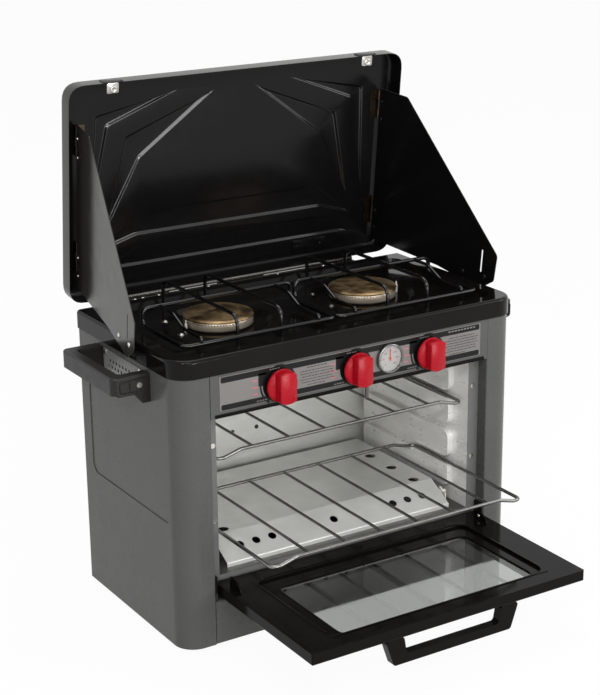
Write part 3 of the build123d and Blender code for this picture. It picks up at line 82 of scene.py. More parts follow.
ahead = Vector((math.sin(YAW) * math.cos(PITCH), math.cos(YAW) * math.cos(PITCH), math.sin(PITCH)))
right = Vector((math.cos(YAW), -math.sin(YAW), 0.0))
above = right.cross(ahead)
cam_x = right * math.cos(ROLL) + above * math.sin(ROLL)
cam_y = above * math.cos(ROLL) - right * math.sin(ROLL)
camera_data = bpy.data.cameras.new("camera")
camera_data.sensor_fit = "AUTO"
camera_data.sensor_width = SENSOR
camera_data.lens = FOCAL_PIXELS / IMAGE_HEIGHT * SENSOR
camera = bpy.data.objects.new("camera", camera_data)
bpy.context.scene.collection.objects.link(camera)
camera.matrix_world = Matrix.Translation(CAMERA_PLACE) @ Matrix((cam_x, cam_y, -ahead)).transposed().to_4x4()
bpy.context.scene.camera = camera
bpy.context.scene.view_settings.view_transform = "Standard"

# ---------------------------------------------------------------- light, floor and background


def link(tree, out, socket):
    tree.links.new(out, socket)


def seen_directly(tree):
    """1 where the camera sees a surface directly, by reflection or through glass."""
    path = tree.nodes.new("ShaderNodeLightPath")
    total = path.outputs["Is Camera Ray"]
    for name in ("Is Glossy Ray", "Is Transmission Ray"):
        both = tree.nodes.new("ShaderNodeMath")
        both.operation = "MAXIMUM"
        link(tree, total, both.inputs[0])
        link(tree, path.outputs[name], both.inputs[1])
        total = both.outputs[0]
    return total


world = bpy.data.worlds.new("studio")
bpy.context.scene.world = world
world.use_nodes = True
tree = world.node_tree
tree.nodes.clear()
sky, white = tree.nodes.new("ShaderNodeBackground"), tree.nodes.new("ShaderNodeBackground")
sky.inputs["Color"].default_value = (0.95, 0.97, 1.0, 1)
sky.inputs["Strength"].default_value = 0.42
white.inputs["Color"].default_value = (1, 1, 1, 1)
white.inputs["Strength"].default_value = 1.0
mix, out = tree.nodes.new("ShaderNodeMixShader"), tree.nodes.new("ShaderNodeOutputWorld")
link(tree, seen_directly(tree), mix.inputs[0])
link(tree, sky.outputs[0], mix.inputs[1])
link(tree, white.outputs[0], mix.inputs[2])
link(tree, mix.outputs[0], out.inputs[0])


def lamp(name, spot, target, size, power):
    data = bpy.data.lights.new(name, "AREA")
    data.shape = "RECTANGLE"
    data.size, data.size_y = size
    data.energy = power
    light = bpy.data.objects.new(name, data)
    bpy.context.scene.collection.objects.link(light)
    light.location = spot
    light.rotation_euler = (Vector(target) - Vector(spot)).to_track_quat("-Z", "Y").to_euler()


lamp("key", (-0.9, -2.5, 2.6), (0, 0, 0.3), (1.6, 1.2), 30)
lamp("fill", (2.6, -1.6, 1.8), (0, 0, 0.3), (1.6, 1.6), 30)
lamp("spark", (-1.9, -1.9, 1.8), (-0.1, 0.2, 0.6), (0.3, 0.3), 15)
lamp("corner", (-0.75, -2.7, 0.3), (-0.33, -0.15, 0.2), (0.2, 0.6), 5)
lamp("top", (0.2, 0.5, 3.0), (0, 0, 0.3), (2.0, 1.4), 26)
lamp("front_low", (0.5, -2.8, 0.55), (0, 0, 0.2), (1.2, 0.8), 26)

floor_mesh = bpy.data.meshes.new("floor")
REACH = 14.0
floor_corners = [(-REACH, -REACH, 0), (REACH, -REACH, 0), (REACH, REACH, 0), (-REACH, REACH, 0)]
floor_mesh.from_pydata(floor_corners, [], [(0, 1, 2, 3)])
floor = bpy.data.objects.new("floor", floor_mesh)
bpy.context.scene.collection.objects.link(floor)
paper = bpy.data.materials.new("paper")
paper.use_nodes = True
tree = paper.node_tree
tree.nodes.clear()
matt, glow = tree.nodes.new("ShaderNodeBsdfDiffuse"), tree.nodes.new("ShaderNodeEmission")
matt.inputs["Color"].default_value = (0.9, 0.9, 0.9, 1)
glow.inputs["Color"].default_value = (1, 1, 1, 1)
share = tree.nodes.new("ShaderNodeMath")
share.operation = "MULTIPLY"
share.inputs[1].default_value = 0.95
link(tree, seen_directly(tree), share.inputs[0])
mix, out = tree.nodes.new("ShaderNodeMixShader"), tree.nodes.new("ShaderNodeOutputMaterial")
link(tree, share.outputs[0], mix.inputs[0])
link(tree, matt.outputs[0], mix.inputs[1])
link(tree, glow.outputs[0], mix.inputs[2])
link(tree, mix.outputs[0], out.inputs[0])
floor.data.materials.append(paper)

# ---------------------------------------------------------------- materials


class Shade:
    """A node-based material: a principled shader whose colour, roughness and bump vary in object space."""

    def __init__(self, name, color, rough, metal=0.0):
        self.material = bpy.data.materials.new(name)
        self.material.use_nodes = True
        self.tree = self.material.node_tree
        self.shader = self.tree.nodes["Principled BSDF"]
        self.shader.inputs["Base Color"].default_value = (*color, 1)
        self.shader.inputs["Roughness"].default_value = rough
        self.shader.inputs["Metallic"].default_value = metal
        texture_space = self.tree.nodes.new("ShaderNodeTexCoord")
        self.coords, self.normal = texture_space.outputs["Object"], texture_space.outputs["Normal"]
        self.color = color

    def set(self, **values):
        for name, value in values.items():
            self.shader.inputs[name.replace("_", " ")].default_value = value
        return self

    def noise(self, scale, detail=3.0, stretch=None):
        coords = self.coords
        if stretch:
            scaled = self.tree.nodes.new("ShaderNodeMapping")
            scaled.inputs["Scale"].default_value = stretch
            link(self.tree, coords, scaled.inputs["Vector"])
            coords = scaled.outputs[0]
        texture = self.tree.nodes.new("ShaderNodeTexNoise")
        texture.inputs["Scale"].default_value = scale
        texture.inputs["Detail"].default_value = detail
        link(self.tree, coords, texture.inputs["Vector"])
        return texture.outputs["Fac"]

    def ramp(self, fac, stops):
        ramp = self.tree.nodes.new("ShaderNodeValToRGB")
        elements = ramp.color_ramp.elements
        while len(elements) < len(stops):
            elements.new(0.5)
        for element, (position, color) in zip(elements, stops):
            element.position = position
            element.color = (*color, 1)
        link(self.tree, fac, ramp.inputs["Fac"])
        return ramp.outputs["Color"]

    def spread(self, fac, color, amount):
        dark = tuple(max(0.0, c * (1 - amount)) for c in color)
        light = tuple(min(1.0, c * (1 + amount)) for c in color)
        return self.ramp(fac, ((0.3, dark), (0.7, light)))

    def vary_color(self, fac, amount):
        link(self.tree, self.spread(fac, self.color, amount), self.shader.inputs["Base Color"])
        return self

    def span(self, fac, low, high):
        span = self.tree.nodes.new("ShaderNodeMapRange")
        span.inputs["From Min"].default_value = 0.3
        span.inputs["From Max"].default_value = 0.7
        span.inputs["To Min"].default_value = low
        span.inputs["To Max"].default_value = high
        link(self.tree, fac, span.inputs["Value"])
        return span.outputs[0]

    def vary_rough(self, fac, low, high):
        link(self.tree, self.span(fac, low, high), self.shader.inputs["Roughness"])
        return self

    def bump(self, fac, strength, distance):
        bump = self.tree.nodes.new("ShaderNodeBump")
        bump.inputs["Strength"].default_value = strength
        bump.inputs["Distance"].default_value = distance
        link(self.tree, fac, bump.inputs["Height"])
        link(self.tree, bump.outputs[0], self.shader.inputs["Normal"])
        return self

    def vector(self, operation, first, second):
        node = self.tree.nodes.new("ShaderNodeVectorMath")
        node.operation = operation
        for socket, value in zip(node.inputs, (first, second)):
            if isinstance(value, (tuple, Vector)):
                socket.default_value = tuple(value)
            else:
                link(self.tree, value, socket)
        return node.outputs["Value"] if operation in ("DOT_PRODUCT", "LENGTH") else node.outputs["Vector"]

    def above(self, value, threshold):
        node = self.tree.nodes.new("ShaderNodeMath")
        node.operation = "GREATER_THAN"
        node.inputs[1].default_value = threshold
        link(self.tree, value, node.inputs[0])
        return node.outputs[0]

    def blend(self, fac, first, second):
        node = self.tree.nodes.new("ShaderNodeMix")
        node.data_type = "RGBA"
        link(self.tree, fac, node.inputs["Factor"])
        link(self.tree, first, node.inputs["A"])
        link(self.tree, second, node.inputs["B"])
        return node.outputs["Result"]


def srgb(*values):
    """Linear colour from the 0-255 values one sees on a screen."""
    return tuple((v / 255 / 12.92 if v <= 10 else ((v / 255 + 0.055) / 1.055) ** 2.4) for v in values)


GREY, BLACK = srgb(86, 87, 84), srgb(14, 13, 13)


def paint(name, color, rough, spread=0.04, grain=900, bump=0.03, **values):
    shade = Shade(name, color, rough)
    shade.vary_color(shade.noise(14, 3), spread)
    shade.vary_rough(shade.noise(60, 2), rough - 0.03, rough + 0.04)
    shade.bump(shade.noise(grain, 2), bump, 0.0004)
    return shade.set(**values)


def metal(name, color, rough, spread=0.06, stretch=None, bump=0.02, share=1.0):
    shade = Shade(name, color, rough, share)
    shade.vary_color(shade.noise(24, 3, stretch), spread)
    shade.vary_rough(shade.noise(50, 2, stretch), rough - 0.04, rough + 0.06)
    shade.bump(shade.noise(320, 2, stretch), bump, 0.0003)
    return shade


def two_sided(name, towards, threshold, point=None, outside=GREY, rough=0.2, gloss=0.18):
    """Grey paint outside and black enamel inside: the side is told by the surface's own normal."""
    shade = Shade(name, GREY, 0.3)
    facing = shade.vector("SUBTRACT", point, shade.coords) if point else towards
    inside = shade.above(shade.vector("DOT_PRODUCT", shade.normal, facing), threshold)
    cloud = shade.noise(14, 4)
    color = shade.blend(inside, shade.spread(cloud, outside, 0.04), shade.spread(cloud, BLACK, 0.08))
    link(shade.tree, color, shade.shader.inputs["Base Color"])
    shade.vary_rough(shade.noise(60, 2), rough - 0.03, rough + 0.04)
    shade.bump(shade.noise(900, 2), 0.01, 0.0004)
    return shade.set(Specular_IOR_Level=gloss)


# a point in front of the lid's middle, which its inside faces
BEFORE_LID = place(*lid_point(0, 158, 200))
MATERIALS = {
    "grey": paint("grey_enamel", srgb(82, 83, 80), 0.27, bump=0.0, Specular_IOR_Level=0.16),
    "frame": paint("frame_enamel", srgb(104, 104, 102), 0.3),
    "lid": two_sided("lid_enamel", None, 0.0, BEFORE_LID, srgb(68, 67, 64)),
    "lid_edges": two_sided("lid_press_enamel", None, 0.0, BEFORE_LID, srgb(58, 57, 55), 0.13, 0.6),
    # the left windscreen's outside is painted darker than the right one's: painted shade, standing for the
    # dark lid it reflects near its hinge
    "screen_left": two_sided("screen_left_enamel_painted_shade", (0.987, -0.159, -0.017), 0.5, None, srgb(50, 47, 44)),
    "screen_right": two_sided("screen_right_enamel", (-0.987, -0.159, -0.017), 0.5, None,
                              srgb(73, 70, 65)),
    "pan": paint("cooktop_enamel", srgb(15, 13, 12), 0.09, spread=0.08, bump=0.008, Specular_IOR_Level=0.14),
    "enamel": paint("inner_enamel", BLACK, 0.2, spread=0.1, Specular_IOR_Level=0.26),
    "black": paint("black_enamel", srgb(17, 16, 16), 0.24, spread=0.1, Specular_IOR_Level=0.3),
    "door": paint("door_enamel", srgb(15, 13, 12), 0.1, spread=0.08, bump=0.01, Specular_IOR_Level=0.07),
    "wire": metal("plated_wire", srgb(128, 127, 124), 0.2, bump=0.0),
    "black_wire": paint("enamelled_wire", srgb(13, 12, 12), 0.1, bump=0.01, Specular_IOR_Level=0.4),
    "liner": metal("galvanised", srgb(216, 216, 212), 0.34, stretch=(1, 1, 3), share=0.5),
    # the oven's side walls take a lighter, less metallic copy of the galvanised steel of its back and
    # ceiling: painted light, as the lamps reach little inside the oven
    "wall": metal("galvanised_wall_painted_light", srgb(240, 239, 236), 0.3, stretch=(1, 1, 3), bump=0.0, share=0.25),
    "sill": metal("dull_zinc", srgb(84, 83, 79), 0.3, share=0.6),
    "hinge": metal("dark_zinc_and_bolt_shade", srgb(104, 102, 98), 0.24),
    "bronze": metal("bronzed_hinge", srgb(74, 64, 52), 0.26),
    "vent": paint("vent_enamel", srgb(120, 120, 116), 0.27, bump=0.006, Specular_IOR_Level=0.2),
    "steel": metal("zinc_plate", srgb(178, 176, 170), 0.3),
    "bright": metal("nickel_plate", srgb(214, 210, 202), 0.2),
    "brass": metal("gas_brass", srgb(170, 142, 92), 0.4, spread=0.2),
    "burner": metal("burner_cast", srgb(212, 198, 178), 0.36, spread=0.16, share=0.7),
    "knob": paint("red_knob", srgb(160, 5, 24), 0.26, spread=0.03, bump=0.01, Specular_IOR_Level=0.2),
    "label": paint("label_foil", srgb(114, 110, 107), 0.3, spread=0.05, bump=0.02),
    "ink": paint("label_ink", srgb(17, 17, 18), 0.3, spread=0.05, bump=0.02, Specular_IOR_Level=0.2),
    "ink_grey": paint("label_small_ink", srgb(60, 58, 58), 0.35, spread=0.15, bump=0.02,
                      Specular_IOR_Level=0.2),
    "ink_red": paint("label_red_ink", srgb(196, 96, 104), 0.35, spread=0.1, bump=0.02),
    "plastic": paint("black_plastic", srgb(29, 26, 25), 0.4, grain=1400, bump=0.15, Specular_IOR_Level=0.3),
    "rubber": paint("rubber", srgb(22, 22, 22), 0.75, grain=700, bump=0.3),
    "bezel": metal("bezel", srgb(128, 127, 125), 0.12),
    "dial": paint("dial_face", srgb(178, 174, 171), 0.3, spread=0.02, bump=0.02),
    "needle": paint("needle_red", srgb(200, 52, 36), 0.35),
    "ceramic": paint("ceramic", srgb(232, 228, 218), 0.35, spread=0.04),
}
glass = Shade("door_glass", (0.4, 0.41, 0.4), 0.03)
glass.set(Transmission_Weight=1.0, IOR=1.65)
glass.vary_rough(glass.noise(30, 4), 0.02, 0.05)
MATERIALS["glass"] = glass
clear = Shade("dial_glass", (0.97, 0.98, 0.98), 0.02)
clear.set(Transmission_Weight=1.0, IOR=1.3)
clear.vary_rough(clear.noise(30, 4), 0.01, 0.03)
MATERIALS["clear"] = clear

# burner caps: heat-stained bronze, in patches
cap = Shade("burner_cap", srgb(150, 126, 88), 0.36, 1.0)
patches = cap.noise(38, 6)
stain = cap.ramp(patches, ((0.32, srgb(112, 88, 64)), (0.46, srgb(150, 124, 88)),
                           (0.56, srgb(176, 150, 112)), (0.7, srgb(128, 106, 76))))
link(cap.tree, stain, cap.shader.inputs["Base Color"])
cap.vary_rough(patches, 0.26, 0.5)
cap.bump(cap.noise(500, 3), 0.15, 0.0004)
MATERIALS["cap"] = cap

LOOKS = {
    "grey": ("side_panel_left", "side_panel_right", "kick_panel", "control_panel", "back_panel"),
    "lid": ("lid_shell",),
    "screen_left": ("windscreen_left",),
    "screen_right": ("windscreen_right",),
    "pan": ("cooktop_pan",),
    "black": ("lid_catches", "screen_clips", "door_hinge_brackets",
              "knob_left_collar", "knob_middle_collar", "knob_right_collar"),
    "door": ("door_pan", "door_liner", "door_pull"),
    "wire": ("rack_upper", "rack_lower"),
    "black_wire": ("grate_left", "grate_right"),
    "liner": ("oven_back", "oven_ceiling", "oven_baffle"),
    "wall": ("oven_wall_left", "oven_wall_right"),
    "steel": ("gas_manifold", "knob_left_stem", "knob_middle_stem", "knob_right_stem", "door_glass_retainer"),
    "bright": ("case_screws",),
    "bronze": ("screen_hinges",),
    "vent": ("vent_plates",),
    "brass": ("gas_valves", "gas_inlet"),
    "cap": ("burner_caps",),
    "burner": ("burner_bases",),
    "knob": ("knob_left", "knob_middle", "knob_right"),
    "label": ("control_label",),
    "plastic": ("side_handle_left", "side_handle_right"),
    "rubber": ("feet",),
    "bezel": ("thermometer_case",),
    "needle": ("thermometer_needle",),
    "ceramic": ("igniter_electrodes",),
    "glass": ("door_glass",),
    "clear": ("thermometer_glass",),
    "frame": ("oven_front_frame",),
    "sill": ("oven_floor", "base_pan", "oven_burner", "oven_feed_pipe", "burner_venturis"),
    "hinge": ("lid_hinge_base", "lid_hinge_leaf", "thermometer_probe"),
}
for look, names in LOOKS.items():
    for name in names:
        NODES[name].data.materials.clear()
        NODES[name].data.materials.append(MATERIALS[look].material)
missing = sorted(set(NODES) - {name for names in LOOKS.values() for name in names})
if missing:
    raise ValueError(f"nodes without a look: {missing}")

# ---------------------------------------------------------------- detail pieces


class Form:
    """A mesh under construction, in the part's own millimetres, that ends as one piece."""

    def __init__(self, name, looks, body, slot, tilt=Matrix()):
        self.name, self.looks, self.body, self.slot, self.tilt = name, looks, body, slot, tilt
        self.points, self.faces, self.marks = [], [], []
        self.merged = False

    def add(self, points, faces, look=0):
        start = len(self.points)
        self.points += [self.tilt @ Vector(p) for p in points]
        self.faces += [[start + n for n in face] for face in faces]
        self.marks += [look] * len(faces)

    def lathe(self, matrix, profile, steps=24, look=0):
        """Turn a profile of (radius, height) round the matrix's Z; radius 0 closes an end."""
        points, faces = [], []
        for radius, height in profile:
            for n in range(steps):
                turn = math.tau * n / steps
                points.append(matrix @ Vector((radius * math.cos(turn), radius * math.sin(turn), height)))
        for ring in range(len(profile) - 1):
            for n in range(steps):
                a, b = ring * steps + n, ring * steps + (n + 1) % steps
                faces.append((a, b, b + steps, a + steps))
        faces.append(tuple(range(steps))[::-1])
        faces.append(tuple((len(profile) - 1) * steps + n for n in range(steps)))
        self.add(points, faces, look)

    def screw(self, matrix, radius, height, look=0):
        """A domed head with a cross recess that goes down into it."""
        steps = 24
        arm, width = radius * 0.52, radius * 0.13
        rings = [(radius, 0.0), (radius, height * 0.3), (radius * 0.9, height * 0.75),
                 (radius * 0.66, height)]
        points = [matrix @ Vector((r * math.cos(math.tau * n / steps), r * math.sin(math.tau * n / steps), h))
                  for r, h in rings for n in range(steps)]
        faces = joined(len(rings), steps)
        # the cross has one corner for every second point of the ring round it
        cross = []
        for quarter in range(4):
            turn = Matrix.Rotation(math.tau * quarter / 4, 3, "Z")
            cross += [turn @ Vector(p) for p in ((arm, -width, 0), (arm, width, 0), (width, width, 0))]
        top = [c + Vector((0, 0, height)) for c in cross]
        low = [c + Vector((0, 0, height * 0.35)) for c in cross]
        base = len(points)
        points += [matrix @ p for p in top + low]
        for n in range(12):
            a, b = base + n, base + (n + 1) % 12
            ring = [3 * steps + (2 * n + k - 1) % steps for k in range(3)]
            faces.append((ring[0], ring[1], ring[2], b, a))
            faces.append((a, b, b + 12, a + 12))
        faces.append(tuple(base + 12 + n for n in range(12)))
        self.add(points, faces, look)

    def slab(self, matrix, outline, depth, edge=0.0, look=0):
        """A flat outline in the matrix's XY, raised by depth with a bevelled upper edge."""
        rings = [(0.0, 0.0), (0.0, depth - edge), (edge * 0.3, depth - edge * 0.3), (edge, depth)]
        if not edge:
            rings = rings[:1] + [(0.0, depth)]
        points, count = [], len(outline)
        for shift, height in rings:
            points += [matrix @ Vector((*p, height)) for p in inset(outline, shift)]
        faces = joined(len(rings), count)
        faces += [tuple(range(count))[::-1], tuple((len(rings) - 1) * count + n for n in range(count))]
        self.add(points, faces, look)

    def tube(self, path, radius, closed=False, sides=10, look=0):
        """A round bar along the points of a path, its frame carried on from point to point."""
        path = [Vector(p) for p in path]
        count = len(path)
        points, faces, side = [], [], None
        for n, p in enumerate(path):
            before = path[n - 1] if (n or closed) else p
            after = path[(n + 1) % count] if (n < count - 1 or closed) else p
            along = (after - before).normalized()
            if side is None:
                side = along.orthogonal().normalized()
            side = (side - along * side.dot(along)).normalized()
            other = along.cross(side)
            turns = [math.tau * k / sides for k in range(sides)]
            points += [p + radius * (side * math.cos(turn) + other * math.sin(turn)) for turn in turns]
        for n in range(count if closed else count - 1):
            for k in range(sides):
                a, b = n * sides, (n + 1) % count * sides
                faces.append((a + k, a + (k + 1) % sides, b + (k + 1) % sides, b + k))
        if not closed:
            faces += [tuple(range(sides))[::-1], tuple((count - 1) * sides + k for k in range(sides))]
        self.add(points, faces, look)

    def loft(self, rings, look=0):
        """Join closed rings of as many points each."""
        self.add([p for ring in rings for p in ring], joined(len(rings), len(rings[0])), look)

    def finish(self, smooth=40):
        mesh = bpy.data.meshes.new(self.name)
        mesh.from_pydata([place(*p) for p in self.points], [], self.faces)
        for look in self.looks:
            mesh.materials.append(MATERIALS[look].material)
        mesh.polygons.foreach_set("material_index", self.marks)
        mesh.polygons.foreach_set("use_smooth", [True] * len(self.faces))
        work = bmesh.new()
        work.from_mesh(mesh)
        if self.merged:
            bmesh.ops.remove_doubles(work, verts=work.verts, dist=0.000002)
        bmesh.ops.recalc_face_normals(work, faces=work.faces)
        work.to_mesh(mesh)
        work.free()
        mesh.set_sharp_from_angle(angle=math.radians(smooth))
        made = bpy.data.objects.new(self.name, mesh)
        bpy.context.scene.collection.objects.link(made)
        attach(made, self.body)
        return made


def joined(rings, count):
    """Faces that join closed rings of as many points each, one above the other."""
    return [(a + n, a + (n + 1) % count, a + count + (n + 1) % count, a + count + n)
            for a in range(0, (rings - 1) * count, count) for n in range(count)]


def signed_area(outline):
    return sum(a[0] * b[1] - b[0] * a[1] for a, b in zip(outline, [*outline[1:], outline[0]])) / 2


def rounded(corners, reach, steps=6):
    """The corners of a flat outline, each turned into a curve that starts reach before it."""
    outline, count = [], len(corners)
    for n, corner in enumerate(corners):
        corner = Vector(corner)
        to_last, to_next = Vector(corners[n - 1]) - corner, Vector(corners[(n + 1) % count]) - corner
        run = min(reach, 0.45 * to_last.length, 0.45 * to_next.length)
        start, end = corner + to_last.normalized() * run, corner + to_next.normalized() * run
        for k in range(steps + 1):
            t = k / steps
            outline.append(tuple(start * (1 - t) ** 2 + corner * 2 * t * (1 - t) + end * t * t))
    return outline


def box_outline(width, height, radius=0.0, middle=(0.0, 0.0)):
    """A rectangle's outline, counter-clockwise, with rounded corners if a radius is given."""
    x, y = width / 2, height / 2
    corners = [(middle[0] + a, middle[1] + b) for a, b in ((-x, -y), (x, -y), (x, y), (-x, y))]
    return rounded(corners, radius) if radius else corners


def inset(outline, shift):
    """The outline moved inwards; outwards if the shift is negative. It runs counter-clockwise."""
    moved, count = [], len(outline)
    for n, corner in enumerate(outline):
        corner = Vector(corner)
        last, after = corner - Vector(outline[n - 1]), Vector(outline[(n + 1) % count]) - corner
        if last.length < 1e-6:
            last = after
        if after.length < 1e-6:
            after = last
        last, after = last.normalized(), after.normalized()
        normals = Vector((-last.y, last.x)), Vector((-after.y, after.x))
        bisector = normals[0] + normals[1]
        moved.append(tuple(corner + bisector * (shift / max(0.02, bisector.dot(normals[0])))))
    return moved


def facing(origin, out, up=(0, 0, 1)):
    """A matrix whose Z points out of a surface and whose Y points up along it."""
    out = Vector(out).normalized()
    side = Vector(up).cross(out).normalized()
    return Matrix.Translation(Vector(origin)) @ Matrix((side, out.cross(side), out)).transposed().to_4x4()


FRONT_FACE, TO_FRONT = -146.0, (0, -1, 0)

# the lid's shell with the pattern pressed outwards in its back, each edge rolled over in a soft curve
LID_OUTLINE = box_outline(550, 316, 25, (0, 158))
LID_RIM, LID_BACK, LID_EDGE, SHEET, PRESS_DEPTH = -5.5, -33.2, 7.0, 1.0, 2.5
PRESSES = (
    ((92, 289), (203, 246), (231, 105), (224, 263)),
    ((32, 284), (152, 195), (206, 91), (177, 228)),
)
BANDS = (
    ((-151, 115), (-216, 62), (-158, 79), (158, 79), (216, 62), (151, 115)),
    ((-155, 64), (-213, 33), (213, 33), (155, 64)),
)
ROLL_DOWN = ((0.0, 0.0), (0.5, 0.03), (1.1, 0.16), (1.9, 0.48), (2.8, 0.8), (3.5, 0.96), (4.4, 1.0))
outlines = list(BANDS)
for corners in PRESSES:
    outlines += [[(-x, y) for x, y in corners][::-1], list(corners)]
outlines = [list(c)[::-1] if signed_area(c) < 0 else list(c) for c in outlines]
shell = Form("lid_shell_pressed", ("lid", "lid_edges"), "lid", "grey_enamel", LID_FRAME)
for back, edge, rim_inset in ((LID_BACK, LID_EDGE, 0.0), (LID_BACK + SHEET, LID_EDGE - SHEET, SHEET)):
    # the side wall, rolled into the back, and the back's flat part between the presses
    wall = [(rim_inset, LID_RIM)]
    wall += [(rim_inset + edge * (1 - math.cos(turn)), back + edge * (1 - math.sin(turn)))
             for turn in (math.radians(n * 11.25) for n in range(9))]
    rings = [inset(LID_OUTLINE, shift) for shift, _ in wall]
    shell.loft([[(*p, height) for p in ring] for ring, (_, height) in zip(rings, wall)])
    borders = [[(*p, back) for p in rings[-1]]]
    borders += [[(*p, back) for p in rounded(corners, 5.0)] for corners in outlines]
    flat = [p for border in borders for p in border]
    shell.add(flat, tessellate_polygon([[Vector(p) for p in border] for border in borders]))
    for corners in outlines:
        steps = [[(*p, back - PRESS_DEPTH * share) for p in rounded(inset(corners, shift), 5.0)]
                 for shift, share in ROLL_DOWN]
        shell.loft(steps, 1)
        shell.add(steps[-1], tessellate_polygon([[Vector(p) for p in steps[-1]]]))
shell.loft([[(*p, LID_RIM) for p in inset(LID_OUTLINE, shift)] for shift in (0.0, SHEET)])
shell.merged = True
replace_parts(shell.finish(30), "lid_shell")
INSIDE = LID_BACK + SHEET

# catches at the lid's upper corners: a dimpled plate inside the rim, and a black tab over the top edge
catch = Form("catch_plates", ("steel", "black"), "lid", "black_enamel", LID_FRAME)
for sign in (-1, 1):
    x = sign * 209.5
    catch.slab(Matrix.Translation((x, 308.5, -5.45)), box_outline(18, 15, 3), 1.4, 0.4)
    catch.lathe(Matrix.Translation((x + 1.5, 306.5, -4.1)),
                [(5.4, 0.0), (5.2, 0.6), (4.2, 1.1), (3.2, 1.1), (2.4, 0.6), (1.2, 0.4), (0.2, 0.4)], 28)
    top_edge = Matrix.Translation((x + 2, 316.05, -13.0)) @ Matrix.Rotation(-math.pi / 2, 4, "X")
    catch.slab(top_edge, box_outline(30, 17, 2), 1.3, 0.4, 1)
    for end in (-11.5, 11.5):
        catch.lathe(Matrix.Translation((x + 2 + end, 316.6, -5.0)),
                    [(2.2, -1.0), (2.2, 0.5), (1.2, 1.1), (0.1, 1.2)], 16, 1)
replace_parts(catch.finish(), "lid_catches")

# a small stiffening plate at the foot of the lid's inside
plate = Form("lid_foot_plate", ("enamel", "bright"), "lid", "grey_enamel", LID_FRAME)
plate.slab(Matrix.Translation((140.0, 19.5, INSIDE)), box_outline(58, 22, 2), 1.6, 0.5)
for x in (119, 161):
    plate.screw(Matrix.Translation((x, 19.5, INSIDE + 1.6)), 2.6, 1.2)
plate.finish()

# rivets through the windscreens, at their hinges and at the clips near their front
for name, sign in (("left", -1), ("right", 1)):
    rivets = Form(f"windscreen_rivets_{name}", ("bright" if sign < 0 else "black",),
                  f"windscreen_{name}", "screw_metal", screen_frame(sign))
    for depth, height, radius in ((8, 237.6, 2.0), (8, 210.6, 2.0), (8, 63.4, 2.0), (8, 36.0, 2.0),
                                  (202, 23.5, 3.6), (246, 28.0, 3.2)):
        for face in (1, -1):
            turned = Matrix.Rotation(0 if face > 0 else math.pi, 4, "X")
            rivets.lathe(Matrix.Translation((depth, height, face * 0.9)) @ turned,
                         [(radius, -0.4), (radius, 0.2), (radius * 0.85, 0.8), (radius * 0.4, 1.2),
                          (0.1, 1.25)], 20)
    rivets.finish()

# screws of the long lid hinge
hinge_screws = Form("lid_hinge_screws", ("bright",), "cabinet", "screw_metal")
for x in (-181, -168, -142, -60, 60, 142, 159, 181):
    hinge_screws.screw(facing((x, 154.0, 414.8), (0, 0, 1), (0, 1, 0)), 3.2, 1.6)
hinge_screws.finish()

# burners: a pale cast ring with a row of ports under a flat, stained cap with a bevelled edge; each port is a
# black disc, painted shade for its hole
PAN_FLOOR, DISH_FLOOR, RING_TOP = 409.0, 403.0, 417.0
BURNERS, BURNER_Y = {"left": -121.0, "right": 121.0}, 17.0
RING_RADIUS, PORT_SHADES = 48.85, 72
rings = Form("burner_rings", ("burner", "black"), "cabinet", "burner_metal")
caps = Form("burner_plates", ("cap",), "cabinet", "burner_metal")
for middle in BURNERS.values():
    at = Matrix.Translation((middle, BURNER_Y, 0))
    rings.lathe(at, [(43.5, DISH_FLOOR + 0.05), (44.0, DISH_FLOOR + 0.4), (48.2, DISH_FLOOR + 2.6),
                     (48.9, DISH_FLOOR + 3.6), (48.9, RING_TOP - 0.6), (48.5, RING_TOP), (0.1, RING_TOP)], 96)
    # each port is a small black disc on the ring's wall: painted shade where the hole would be dark inside
    for n in range(PORT_SHADES):
        turn = math.radians(n * 360 / PORT_SHADES)
        out = (math.cos(turn), math.sin(turn), 0)
        spot = Vector((middle + RING_RADIUS * out[0], BURNER_Y + RING_RADIUS * out[1], RING_TOP - 2.3))
        rings.lathe(facing(spot, out), [(0.9, -0.4), (0.9, 0.1), (0.1, 0.1)], 10, 1)
    caps.lathe(at, [(49.4, RING_TOP + 0.02), (49.9, RING_TOP + 0.3), (50.0, RING_TOP + 0.8),
                    (50.0, RING_TOP + 1.8), (49.7, RING_TOP + 2.3), (46.6, RING_TOP + 3.6),
                    (45.4, RING_TOP + 3.95), (0.1, RING_TOP + 4.0)], 96)
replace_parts(rings.finish(), "burner_bases")
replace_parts(caps.finish(25), "burner_caps")


def bent(corners, reach, closed=False, steps=8):
    """A wire's corners in space, each turned into a smooth bend that starts reach before it."""
    path, count = [], len(corners)
    for n, corner in enumerate(corners):
        corner = Vector(corner)
        if not closed and n in (0, count - 1):
            path.append(corner)
            continue
        to_last, to_next = Vector(corners[n - 1]) - corner, Vector(corners[(n + 1) % count]) - corner
        run = min(reach, 0.45 * to_last.length, 0.45 * to_next.length)
        start, end = corner + to_last.normalized() * run, corner + to_next.normalized() * run
        for k in range(steps + 1):
            t = k / steps
            path.append(start * (1 - t) ** 2 + corner * 2 * t * (1 - t) + end * t * t)
    return path


